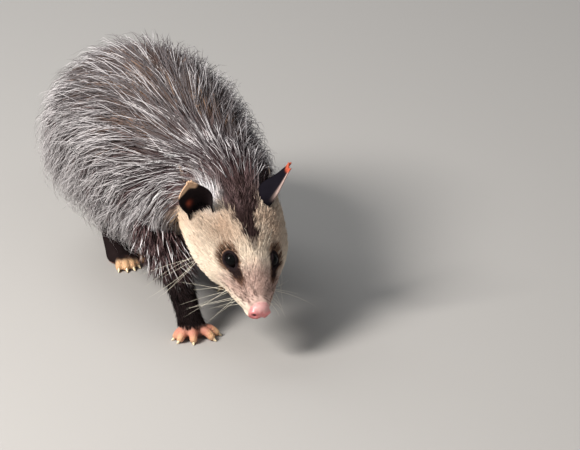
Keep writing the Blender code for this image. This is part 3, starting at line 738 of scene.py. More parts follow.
@dataclass
class Form:
    """One closed form of the skin, in the animal's own millimetres."""

    points: Array
    faces: list[tuple[int, ...]]
    colour: Array | None = None
    finish: Finish = BODY_SKIN

    @classmethod
    def loft(cls, rings: Array) -> "Form":
        """Join rings of equal count into a closed form."""
        rows, count = rings.shape[:2]
        return cls(rings.reshape(-1, 3), closed_faces(rows, count))

    @classmethod
    def joined(cls, forms: list["Form"]) -> "Form":
        """Put several forms into one list of points and faces.

        Args:
            forms: The closed forms.

        Returns:
            One form, still overlapping.
        """
        points, faces, start = [], [], 0
        for form in forms:
            points.append(form.points)
            faces += [tuple(k + start for k in face) for face in form.faces]
            start += len(form.points)
        return cls(np.concatenate(points), faces)

    def thing(self, name: str) -> bpy.types.Object:
        """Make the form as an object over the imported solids.

        Args:
            name: Name of the object.

        Returns:
            The linked object.
        """
        mesh = bpy.data.meshes.new(name)
        mesh.from_pydata(((self.points + OFFSET) * MM).tolist(), [], self.faces)
        mesh.update()
        made = bpy.data.objects.new(name, mesh)
        bpy.context.scene.collection.objects.link(made)
        return made

    def remeshed(self, voxel: float, rounds: int) -> "Form":
        """Melt overlapping closed forms into one even surface.

        Args:
            voxel: Size of a cell in millimetres.
            rounds: How many times the surface is smoothed.

        Returns:
            The new form.
        """
        work = self.thing("melting")
        step = work.modifiers.new("even", "REMESH")
        step.mode = "VOXEL"
        step.voxel_size = voxel * MM
        soft = work.modifiers.new("soft", "SMOOTH")
        soft.factor, soft.iterations = 0.5, rounds
        graph = bpy.context.evaluated_depsgraph_get()
        graph.update()
        mesh = bpy.data.meshes.new_from_object(work.evaluated_get(graph))
        form = Form(points_of(mesh), [tuple(face.vertices) for face in mesh.polygons])
        bpy.data.objects.remove(work, do_unlink=True)
        bpy.data.meshes.remove(mesh)
        return form

    def normals(self) -> Array:
        """Return the direction out of the surface at each point.

        Returns:
            One direction for each point.
        """
        quads = np.array([face[:3] for face in self.faces])
        a, b, c = (self.points[quads[:, k]] for k in range(3))
        flat = np.cross(b - a, c - a)
        total = np.zeros_like(self.points)
        for face_corner in range(3):
            np.add.at(total, quads[:, face_corner], flat)
        return unit(total)


def points_of(mesh: bpy.types.Mesh) -> Array:
    """Return a mesh's points in the animal's own millimetres.

    Args:
        mesh: The mesh to read.

    Returns:
        Its points, three in a row.
    """
    flat = np.empty(len(mesh.vertices) * 3)
    mesh.vertices.foreach_get("co", flat)
    return flat.reshape(-1, 3) / MM - OFFSET


def ball(centre: Array, radii: tuple[float, ...], axes: Array, around: int = 20, levels: int = 12) -> Form:
    """Return a closed ellipsoid, its poles on the third axis.

    Args:
        centre: Middle of the form.
        radii: Radius on each axis.
        axes: Axes as columns.
        around: Points in each ring.
        levels: How many rings there are.

    Returns:
        The closed form.
    """
    pole = 0.12
    tilt = np.linspace(pole, math.pi - pole, levels)[:, None]
    spin = np.linspace(0, TURN, around, endpoint=False)[None, :]
    level = (np.sin(tilt) * np.cos(spin), np.sin(tilt) * np.sin(spin), np.cos(tilt) / math.cos(pole))
    local = np.stack(np.broadcast_arrays(*level), axis=-1)
    return Form.loft((local * radii) @ np.asarray(axes).T + centre)


def tube(path: Array, radii: Array, count: int = 10) -> Form:
    """Sweep a round section along a path of points.

    Args:
        path: Middle line.
        radii: Radius at each point of it.
        count: Points in each ring.

    Returns:
        The closed form.
    """
    path, radii = np.asarray(path, float), np.asarray(radii, float)
    ahead = unit(np.gradient(path, axis=0))
    side = np.cross(ahead, np.where(np.abs(ahead[:, 2:]) < 0.9, [[0.0, 0, 1]], [[1.0, 0, 0]]))
    side = unit(side)
    other = np.cross(ahead, side)
    spin = np.linspace(0, TURN, count, endpoint=False)
    rings = path[:, None] + radii[:, None, None] * (
        side[:, None] * np.cos(spin)[None, :, None] + other[:, None] * np.sin(spin)[None, :, None]
    )
    return Form.loft(rings)


def rounded_tube(path: Array, radii: Array, grain: int = 5, count: int = 12) -> Form:
    """Sweep a round section along a smooth path with a rounded far end.

    Args:
        path: Rough middle line.
        radii: Radius at each point of it.
        grain: Rings for each step of the line.
        count: Points in each ring.

    Returns:
        The closed form.
    """
    rows = np.column_stack([path, radii])
    close = curve_at(rows, np.linspace(0, len(rows) - 1, (len(rows) - 1) * grain + 1))
    end, ahead = close[-1], unit(close[-1, :3] - close[-2, :3])
    cap = [(*(end[:3] + ahead * end[3] * math.sin(a)), end[3] * math.cos(a)) for a in (0.5, 0.95, 1.3)]
    close = np.vstack([close, cap])
    return tube(close[:, :3], close[:, 3], count)


@dataclass
class HeadSkin:
    """The skin of the head, with the lids, lips, nose and folds."""

    shape: HeadShape = HEAD
    voxel: float = 0.7
    lid_opening: tuple[float, float] = (5.6, 4.1)
    nostril: tuple[float, ...] = (5.9, 2.6, -0.9)
    lip_cut: float = 1.25
    lip_rise: float = 0.55
    # back from the nose and angle below straight aside, from the corner to the lip
    mouth: Rows = ((54, -30), (47, -32), (37, -36), (28, -40), (20, -47), (14, -56))

    def mouth_path(self) -> Array:
        """Return the line of the mouth from corner to corner, in the head's own axes.

        Returns:
            Points of the line.
        """
        back, angle = np.array(self.mouth).T
        half = self.shape.surface(back, np.radians(angle), -0.2)
        half = np.vstack([half, (6.6, 7.6, -8.0)])
        line = np.vstack([half, (0.0, 4.8, -8.1), half[::-1] * (-1, 1, 1)])
        return curve_at(line, np.linspace(0, len(line) - 1, 120))

    def rough(self) -> Form:
        """Return the head, chin and nose as overlapping forms.

        Returns:
            One form of overlapping parts.
        """
        back = np.concatenate([np.linspace(8, 40, 34), np.linspace(41.5, self.shape.end + 1.5, 42)])
        spin = np.linspace(0, TURN, 96, endpoint=False)
        skull = Form.loft(self.shape.surface(back[:, None], spin[None, :], -0.35))
        parts = [
            skull,
            ball(np.array([0, 15.5, -6.6]), (8.4, 11.5, 6.2), np.eye(3)),
            ball(np.array([0, 7.9, 0.4]), (7.9, 7.2, 6.6), np.eye(3)),
        ]
        parts += [ball(np.array([4.3 * s, 4.8, -0.4]), (4.2, 4.0, 4.3), np.eye(3)) for s in (1, -1)]
        return Form.joined(parts)

    def fold(self, points: Array, normals: Array) -> Array:
        """Move the surface into lids, lips, nostrils and folds.

        Args:
            points: Surface points in the head's own axes.
            normals: Directions out of the surface.

        Returns:
            The moved points.
        """
        moved = points.copy()
        line = self.mouth_path()
        tree = KDTree(len(line))
        for k, spot in enumerate(line):
            tree.insert(spot, k)
        tree.balance()
        low = np.where((points[:, 2] < 4) & (points[:, 1] < 60))[0]
        gap = np.full(len(points), 99.0)
        for k in low:
            gap[k] = tree.find(points[k])[2]
        moved -= normals * (self.lip_cut * np.exp(-((gap / 0.75) ** 2)))[:, None]
        moved += normals * (self.lip_rise * np.exp(-(((gap - 2.0) / 1.0) ** 2)))[:, None]
        for side in Side:
            hole = np.array(self.nostril) * (side.value, 1, 1)
            away = (points - hole) * (1 / 1.6, 1 / 2.6, 1 / 1.7)
            depth = np.exp(-(np.linalg.norm(away, axis=1) ** 2.2))
            moved += depth[:, None] * np.array([-2.2 * side.value, 2.4, 0.6])
            wing = np.exp(-((np.linalg.norm(away, axis=1) - 1.7) ** 2) / 0.16)
            moved += normals * (0.35 * wing)[:, None]
        left, back, up = points.T
        groove = np.exp(-((left / 0.7) ** 2)) * fade(7.5, 4.0, back) * fade(5.5, 2.0, up)
        moved += groove[:, None] * np.array([0, 0.9, 0])
        rim = np.exp(-(((back + 0.2 * np.abs(left) - 10.2) / 0.9) ** 2)) * fade(-5, 0, up)
        moved -= normals * (0.45 * rim)[:, None]
        angle = np.arctan2(up, np.abs(left))
        pad = np.exp(-(((back - 24) / 8) ** 2) - ((angle + 0.35) / 0.4) ** 2)
        moved += normals * (1.0 * pad)[:, None]
        return self.lids(moved)

    def lids(self, points: Array) -> Array:
        """Shape the lids round each eyeball and sink the skin behind it.

        Args:
            points: Surface points in the head's own axes.

        Returns:
            The moved points.
        """
        for side in Side:
            axes = self.shape.eye_frame(side)
            centre = self.shape.eye_centre(side)
            local = (points - centre) @ axes
            radius = self.shape.eye_radius
            wide, tall = self.lid_opening
            share = np.hypot(local[:, 0] / wide, local[:, 1] / tall)
            ahead = -local[:, 0]
            corner = np.exp(-((local[:, 1] / 2.2) ** 2)) * fade(3.5, 7.5, ahead) * fade(12, 8, ahead)
            share = share - 0.22 * corner
            plane = np.hypot(local[:, 0], local[:, 1])
            front = local[:, 2] > -4
            ball_height = np.sqrt(np.maximum(radius**2 - plane**2, 0.0))
            inside = front & (share < 1.0)
            local[inside, 2] = ball_height[inside] - 1.4 * np.minimum((1.0 - share[inside]) * 5, 1.0)
            lid = ball_height + 0.95
            hug = front & (share >= 1.0)
            weight = (1 - fade(1.12, 2.1, share)) * hug
            local[:, 2] += (np.maximum(lid, local[:, 2]) - local[:, 2]) * weight
            crease = np.exp(-(((share - 1.75) / 0.16) ** 2)) * hug
            local[:, 2] -= 0.5 * crease
            points = np.where((front & (plane < 16))[:, None], local @ axes.T + centre, points)
        return points

    def build(self) -> Form:
        """Return the finished skin of the head with its colours.

        Returns:
            The form in the animal's place.
        """
        form = self.rough()
        form.points = self.shape.to_body(form.points)
        form = form.remeshed(self.voxel, 3)
        local = self.shape.to_head(form.points)
        normals = form.normals() @ self.shape.frame()
        local = self.fold(local, normals)
        form.colour = head_colour(local)
        # Nostril openings painted dark: partly the red inner skin, partly painted shade in the holes
        for side in Side:
            hole = np.array([5.2 * side.value, 3.4, -0.8])
            away = np.linalg.norm((local - hole) / (1.7, 2.3, 1.8), axis=1)
            form.colour = blend(form.colour, PAINT.nostril, fade(1.15, 0.7, away))
        form.points = self.shape.to_body(local)
        form.finish = FACE_SKIN
        return form


@dataclass
class EarSkin:
    """One thin cupped ear, a leaf bent round its length."""

    side: Side
    root: tuple[float, float, float]
    tip: tuple[float, float, float]
    facing: tuple[float, float, float]
    wide: float = 12.6
    thick: float = 1.1
    levels: int = 34
    columns: int = 30
    floor_back: float = 8.0
    floor_deep: float = 5.6
    flare: float = 0.0

    def axes(self) -> tuple[Array, Array, Array]:
        """Return the across, forward and lengthwise directions of the ear.

        Returns:
            The three directions.
        """
        up = unit(np.array(self.tip, float) - np.array(self.root, float))
        front = np.array(self.facing, float)
        front = unit(front - up * front.dot(up))
        return np.cross(up, front), front, up

    def sheet(self, shift: float) -> Array:
        """Return one face of the leaf as rows of points in the head's own axes.

        Args:
            shift: Distance out from the inner face.

        Returns:
            Levels by columns of points.
        """
        root = np.array(self.root, float)
        length = np.linalg.norm(np.array(self.tip) - root)
        across, front, up = self.axes()
        v = np.linspace(-0.22, 1.0, self.levels)[:, None]
        u = np.linspace(-1, 1, self.columns)[None, :]
        swell = np.sin(math.pi * np.minimum(0.26 + 0.74 * np.maximum(v, 0), 0.965)) ** 0.8
        swell = swell + self.flare * np.exp(-(((v - 1.0) / 0.10) ** 2))
        wavy = 1 + 0.05 * np.sin(5 * v + 1.3 * self.side.value) * np.abs(u)
        width = self.wide * np.maximum(0.08, swell) * wavy
        bend = 1.7 - 1.0 * np.minimum(np.maximum(v, 0) * 1.6, 1.0)
        reach = width / np.sin(np.minimum(bend, math.pi / 2))
        crinkle = 0.45 * np.sin(7 * u + 4 * v) * np.maximum(v, 0)
        out = reach + shift + crinkle
        turn = bend * u
        ragged = 1 - 0.018 * np.sin(9 * u + self.side.value) * fade(0.6, 1.0, v)
        return (
            root
            + across * (out * np.sin(turn))[..., None]
            - front * (out * np.cos(turn) - reach * np.cos(bend))[..., None]
            + up * (length * v * ragged)[..., None]
        )

    def colour(self, inner: bool) -> Array:
        """Return the colours of one face of the leaf.

        Args:
            inner: Whether it is the face inside the cup.

        Returns:
            One colour for each point.
        """
        v = np.linspace(-0.22, 1.0, self.levels)[:, None]
        u = np.linspace(-1, 1, self.columns)[None, :]
        v, u = np.broadcast_arrays(v, u)
        if self.side is Side.RIGHT:
            base = np.broadcast_to(np.array(PAINT.black), (*v.shape, 3))
            edge = fade(0.66, 0.76, v - 0.12 * u + 0.04 * np.sin(5 * u))
            base = blend(base, PAINT.ear_edge, edge * 0.92)
            if inner:
                spot = np.exp(-(((u + 0.45) / 0.16) ** 2) - ((v - 0.12) / 0.1) ** 2)
                base = blend(base, PAINT.ear_red, 0.8 * spot)
        else:
            base = np.broadcast_to(np.array(PAINT.ear_blue), (*v.shape, 3))
            # Pale line along the left ear's side edges: a painted highlight where light catches the rim
            rim = fade(0.78, 0.98, np.abs(u)) * fade(0.1, 0.5, v)
            base = blend(base, PAINT.ear_rim_highlight, 0.75 * rim)
            base = blend(base, PAINT.ear_red, fade(0.84, 0.92, v))
        return np.clip(base, 0, 1).reshape(-1, 3)

    def build(self) -> Form:
        """Return the closed leaf with its colours.

        Returns:
            The form in the animal's place.
        """
        inner, outer = self.sheet(0.0), self.sheet(self.thick)
        half, cols = self.levels * self.columns, self.columns
        faces = []
        for i in range(self.levels - 1):
            for j in range(cols - 1):
                a = i * cols + j
                quad = (a, a + 1, a + 1 + cols, a + cols)
                faces += [quad, tuple(half + k for k in quad[::-1])]
        rim = list(range(cols)) + [i * cols + cols - 1 for i in range(1, self.levels)]
        rim += [(self.levels - 1) * cols + j for j in range(cols - 2, -1, -1)]
        rim += [i * cols for i in range(self.levels - 2, 0, -1)]
        for a, b in zip(rim, rim[1:] + rim[:1]):
            faces.append((b, a, half + a, half + b))
        points = HEAD.to_body(np.concatenate([inner.reshape(-1, 3), outer.reshape(-1, 3)]))
        colour = np.concatenate([self.colour(True), self.colour(False)])
        return Form(points, faces, colour, EAR_SKIN)


@dataclass
class LimbSkin:
    """One leg with its foot and toes; the claws are a piece of their own."""

    side: Side
    kind: str
    # x, y, z, half width, half length of each level ring, top first
    leg: Rows
    foot: Rows
    # angle towards the midline from straight ahead in degrees, reach
    digits: tuple[tuple[float, float], ...]
    start: tuple[float, float]
    radius: float = 3.45
    voxel: float = 1.05
    great_toe: bool = False

    def toe_path(self, angle: float, reach: float) -> Array:
        """Return the middle line of one toe, arched over its knuckle.

        Args:
            angle: Degrees towards the midline from straight ahead.
            reach: Length from the middle of the foot.

        Returns:
            Four points from root to tip.
        """
        a = math.radians(angle)
        ahead = np.array([math.sin(a) * -self.side.value, -math.cos(a), 0])
        root = np.array([*self.start, 6.4]) + ahead * 3
        tip = np.array([*self.start, 3.2]) + ahead * (reach - 3.0)
        knuckle = root * 0.45 + tip * 0.55 + np.array([0, 0, 2.3])
        return np.array([root, knuckle, knuckle * 0.4 + tip * 0.6 + (0, 0, 0.7), tip])

    def great_path(self) -> Array:
        """Return the middle line of the clawless opposed toe.

        Returns:
            Four points from root to tip.
        """
        x, y = self.start
        out = self.side.value
        reaches = ((2, 5, 6.0), (12, 1, 6.4), (16, -7, 5.2), (14.4, -12.5, 4.0))
        return np.array([(x - out * aside, y + back, z) for aside, back, z in reaches])

    def build(self) -> Form:
        """Return the melted leg and foot with their colours.

        Returns:
            The form in the animal's place.
        """
        rows = np.array(self.leg)
        close = curve_at(rows, np.linspace(0, len(rows) - 1, 8 * len(rows)))
        sole = curve_at(np.array(self.foot), np.linspace(0, len(self.foot) - 1, 24))
        parts = [self.level(close), self.level(sole)]
        for angle, reach in self.digits:
            r = self.radius
            parts.append(rounded_tube(self.toe_path(angle, reach), (r * 1.15, r * 1.02, r * 0.98, r * 0.93)))
        if self.great_toe:
            parts.append(rounded_tube(self.great_path(), (4.6, 4.3, 4.0, 3.5)))
        form = Form.joined(parts).remeshed(self.voxel, 3)
        form.points[:, 2] = np.maximum(form.points[:, 2], 0.02)
        form.colour = self.colour(form.points)
        form.finish = FOOT_SKIN
        return form

    def level(self, rows: Array) -> Form:
        """Join level oval rings into a closed form.

        Args:
            rows: Middle, half width and half length of each ring.

        Returns:
            The closed form.
        """
        spin = np.linspace(0, TURN, 32, endpoint=False)
        x, y, z, wide, long = (rows[:, k : k + 1] for k in range(5))
        rings = np.broadcast_arrays(x + wide * np.cos(spin), y + long * np.sin(spin), z)
        return Form.loft(np.stack(rings, axis=-1))

    def colour(self, points: Array) -> Array:
        """Return near-black skin that turns orange-pink on the toes.

        Args:
            points: Points in the animal's place.

        Returns:
            One colour for each point.
        """
        base = np.broadcast_to(np.array(PAINT.leg), points.shape)
        away = np.hypot(points[:, 0] - self.start[0], points[:, 1] - self.start[1] - 1.0)
        first, full = (7.0, 12.0) if self.kind == "fore" else (16.0, 23.0)
        share = fade(first, full, away + 1.8 * waves(points, 9, 4)) * fade(13.0, 8.5, points[:, 2])
        # Toes darker towards their roots: partly their own brown, partly painted shade between the toes
        toes = blend(np.array(PAINT.toe) * 0.72, PAINT.toe, fade(first, full, away))
        toes = blend(toes, PAINT.toe_end, fade(14, 20, away))
        sole = fade(2.2, 0.6, points[:, 2])
        return blend(blend(base, toes, share), PAINT.sole, 0.8 * sole)

    def claws(self) -> Form:
        """Return the curved claws of the toes.

        Returns:
            All the claws of the foot as one form.
        """
        parts = []
        for angle, reach in self.digits:
            path = self.toe_path(angle, reach)
            ahead = unit(path[-1] - path[-2])
            start = path[-1] + ahead * 1.6 + (0, 0, 0.9)
            curve = np.array([start, start + ahead * 2.6 + (0, 0, -0.3), start + ahead * 4.8 + (0, 0, -1.9)])
            curve[:, 2] = np.maximum(curve[:, 2], 0.6)
            close = curve_at(np.column_stack([curve, (1.25, 0.95, 0.16)]), np.linspace(0, 2, 9))
            parts.append(tube(close[:, :3], close[:, 3], 10))
        horn = Form.joined(parts)
        horn.points[:, 2] = np.maximum(horn.points[:, 2], 0.05)
        return horn


@dataclass
class TailSkin:
    """The scaly tail, black at its root and pale beyond."""

    # x, y, z, radius
    path: Rows = (
        (0, 146, 84, 13.5), (3, 178, 60, 12.2), (8, 203, 41, 10.8), (17, 230, 26, 9.6),
        (31, 258, 17, 8.5), (52, 281, 12.5, 7.4), (78, 296, 11, 6.3), (105, 300, 11, 5.2),
        (130, 293, 13, 4.2), (148, 277, 17, 3.2), (153, 259, 23, 2.3),
    )

    def build(self) -> Form:
        """Return the tapered tail with fine rings of scales.

        Returns:
            The form in the animal's place.
        """
        places = np.linspace(0, len(self.path) - 1, 420)
        close = curve_at(np.array(self.path), places)
        rings = 1 - 0.018 * np.abs(np.sin(np.arange(420) * math.pi / 3))
        form = tube(close[:, :3], (close[:, 3] - 0.3) * rings, 28)
        place = np.repeat(places, 28)
        dark = fade(3.9, 3.3, place + 0.35 * waves(form.points, 14, 6))
        form.colour = blend(np.array(PAINT.tail), PAINT.black, dark)
        form.finish = TAIL_SKIN
        return form


@dataclass
class Skin:
    """The one skin under the coat, from the nose to the tip of the tail."""

    limbs: tuple[LimbSkin, ...]
    ears: tuple[EarSkin, ...]
    inside: float = 0.8
    name: str = "skin"
    nodes: tuple[str, ...] = (
        "head", "nose", "neck", "torso", "ear_left", "ear_right", "tail_base", "tail_middle", "tail_tip",
        "fore_leg_left", "fore_leg_right", "hind_leg_left", "hind_leg_right",
        "fore_foot_left", "fore_foot_right", "hind_foot_left", "hind_foot_right",
    )

    def trunk(self) -> Form:
        """Return the core of the neck and torso, just inside that of the solids.

        Returns:
            The form with its colours.
        """
        place = np.linspace(0, TRUNK.last, 84)[:, None]
        angle = np.linspace(0, TURN, 72, endpoint=False)[None, :]
        points = TRUNK.point(place, angle, -self.inside)
        form = Form.loft(points)
        flat = np.broadcast_to(place, points.shape[:2]).ravel()
        turn = np.broadcast_to(angle, points.shape[:2]).ravel()
        mark = np.where((flat < 1.2)[:, None], nape_colour(flat, turn, form.points), PAINT.under)
        form.colour = blend(mark, PAINT.under, fade(0.5, 1.2, flat))
        return form

    def build(self) -> bpy.types.Object:
        """Join all the forms of flesh into one closed surface.

        Returns:
            The skin, with its marks and finishes.
        """
        forms = [self.trunk(), HeadSkin().build(), TailSkin().build()]
        forms += [limb.build() for limb in self.limbs]
        forms += [ear.build() for ear in self.ears]
        skin = forms[0].thing(self.name)
        for form in forms[1:]:
            other = form.thing("joining")
            step = skin.modifiers.new("join", "BOOLEAN")
            step.operation, step.solver, step.object = "UNION", "MANIFOLD", other
            graph = bpy.context.evaluated_depsgraph_get()
            graph.update()
            mesh = bpy.data.meshes.new_from_object(skin.evaluated_get(graph))
            skin.modifiers.clear()
            skin.data = mesh
            bpy.data.objects.remove(other, do_unlink=True)
            log.info("joined %s: %d points", form.finish.name, len(mesh.vertices))
        self.dress(skin, forms)
        return skin

    def dress(self, skin: bpy.types.Object, forms: list[Form]) -> None:
        """Carry the colours and finishes of the forms over to the joined skin.

        Args:
            skin: The joined skin.
            forms: The forms that it was joined from.
        """
        kinds = []
        for form in forms:
            if form.finish not in kinds:
                kinds.append(form.finish)
        points = np.concatenate([form.points for form in forms])
        colours = np.concatenate([form.colour for form in forms])
        kind = np.concatenate([np.full(len(form.points), kinds.index(form.finish)) for form in forms])
        kinds += [NOSE_SKIN, LEG_SKIN]
        tree = KDTree(len(points))
        for k, point in enumerate(points):
            tree.insert(point, k)
        tree.balance()
        spots = points_of(skin.data)
        near = np.array([tree.find(spot)[1] for spot in spots])
        mark = np.ones((len(spots), 4))
        mark[:, :3] = np.clip(colours[near], 0, 1)
        put_marks(skin.data, mark)
        kind = kind[near]
        head = HEAD.to_head(spots)
        bare = (kind == kinds.index(FACE_SKIN)) & (head[:, 1] + 0.2 * np.abs(head[:, 0]) < 9.6)
        kind[bare] = kinds.index(NOSE_SKIN)
        furred = (kind == kinds.index(FOOT_SKIN)) & (mark[:, 0] < 0.05)
        kind[furred] = kinds.index(LEG_SKIN)
        skin.data.materials.clear()
        for finish in kinds:
            skin.data.materials.append(finish.material())
        first = np.array([face.vertices[0] for face in skin.data.polygons])
        skin.data.polygons.foreach_set("material_index", kind[first].astype(np.int32))
        skin.data.shade_smooth()


def put_marks(mesh: bpy.types.Mesh, mark: Array) -> None:
    """Store one colour for each point of a mesh."""
    layer = mesh.attributes.new("mark", "FLOAT_COLOR", "POINT")
    layer.data.foreach_set("color", np.ascontiguousarray(mark, dtype=np.float32).ravel())


@dataclass
class Tufts:
    """Many tapered tufts of hair: middle lines, widths, colours and roots on the unwrap."""

    line: Array
    width: Array
    colour: Array
    root: Array
    outward: Array
    flat: float = 0.55
    patch: float = 0.003

    def picked(self, choice: Array) -> "Tufts":
        """Return only the chosen tufts."""
        kept = (self.line, self.width, self.colour, self.root, self.outward)
        return Tufts(*(values[choice] for values in kept))

    def thing(self, name: str, finish: Finish) -> bpy.types.Object:
        """Make the tufts as one joined mesh.

        Args:
            name: Name of the piece.
            finish: Its finish.

        Returns:
            The mesh object, with its marks and the map that a bake reads.
        """
        count, stops = self.line.shape[:2]
        ahead = unit(np.gradient(self.line, axis=1))
        side = unit(np.cross(ahead, self.outward[:, None]))
        lift = np.cross(side, ahead)
        spin = np.radians((90, 210, 330))
        sections = self.line[:, :-1, None] + self.width[:, :-1, None, None] * (
            side[:, :-1, None] * np.cos(spin)[None, None, :, None]
            + lift[:, :-1, None] * (self.flat * np.sin(spin))[None, None, :, None]
        )
        each = 3 * (stops - 1) + 1
        points = np.concatenate([sections.reshape(count, -1, 3), self.line[:, -1:]], axis=1)
        points[..., 2] = np.maximum(points[..., 2], 0.6)
        loops, starts = self.faces(stops)
        shift = (np.arange(count) * each)[:, None]
        corner = (loops[None] + shift).ravel()
        start = (starts[None] + (np.arange(count) * len(loops))[:, None]).ravel()
        mesh = bpy.data.meshes.new(name)
        mesh.vertices.add(count * each)
        mesh.loops.add(len(corner))
        mesh.polygons.add(len(start))
        mesh.vertices.foreach_set("co", ((points.reshape(-1, 3) + OFFSET) * MM).astype(np.float32).ravel())
        mesh.loops.foreach_set("vertex_index", corner.astype(np.int32))
        mesh.polygons.foreach_set("loop_start", start.astype(np.int32))
        mesh.update(calc_edges=True)
        rgb = np.concatenate([np.repeat(self.colour[:, :-1], 3, axis=1), self.colour[:, -1:]], axis=1)
        mark = np.ones((count * each, 4))
        mark[:, :3] = np.clip(rgb.reshape(-1, 3), 0, 1)
        put_marks(mesh, mark)
        ring = np.append(np.repeat(np.arange(stops - 1), 3), stops - 1) / stops
        turn = np.append(np.tile(np.arange(3), stops - 1), 1) / 3
        spread = np.stack([ring, turn], axis=-1) * self.patch
        unwrap = (self.root[:, None] * (1 - self.patch) + spread[None]).reshape(-1, 2)
        layer = mesh.uv_layers.new(name="OFBake")
        layer.data.foreach_set("uv", unwrap[corner].astype(np.float32).ravel())
        mesh.shade_smooth()
        mesh.materials.append(finish.material())
        made = bpy.data.objects.new(name, mesh)
        bpy.context.scene.collection.objects.link(made)
        return made

    @staticmethod
    def faces(stops: int) -> tuple[Array, Array]:
        """Return the corners and face starts of one tuft.

        Args:
            stops: How many points its middle line has.

        Returns:
            The corners in a row, and where each face starts.
        """
        loops, starts = [0, 1, 2], [0]
        for row in range(stops - 2):
            for j in range(3):
                a, b = 3 * row + j, 3 * row + (j + 1) % 3
                starts.append(len(loops))
                loops += [b, a, a + 3, b + 3]
        base = 3 * (stops - 2)
        for j in range(3):
            starts.append(len(loops))
            loops += [base + (j + 1) % 3, base + j, base + 3]
        return np.array(loops), np.array(starts)


def scattered(draw: np.random.Generator, count: int, weight: Array) -> tuple[Array, Array]:
    """Draw places on a grid of cells by their weight.

    Args:
        draw: Seeded source of numbers.
        count: How many to draw.
        weight: Weight of each cell, rows by columns.

    Returns:
        Row and column of each, as shares from 0 to 1.
    """
    rows, columns = weight.shape
    chosen = draw.choice(weight.size, size=count, p=(weight / weight.sum()).ravel())
    row = (chosen // columns + draw.random(count)) / rows
    column = (chosen % columns + draw.random(count)) / columns
    return row, column


def downward(angle: Array) -> Array:
    """Return the way round the body that leads down, 1 or -1 for each angle."""
    return np.where(np.cos(angle) > 0, -1.0, 1.0)


def risen(stop: Array | float, height: Array, sunk: float, bend: float = 1.5) -> Array:
    """Return how far a tuft stands over the skin along its length.

    Args:
        stop: Share of the tuft's length.
        height: How far its tip stands over the skin.
        sunk: How deep its root sits.
        bend: How fast it rises near the root.

    Returns:
        Distance out from the skin, negative below it.
    """
    return -sunk + (height + sunk) * (1 - (1 - stop) ** bend)


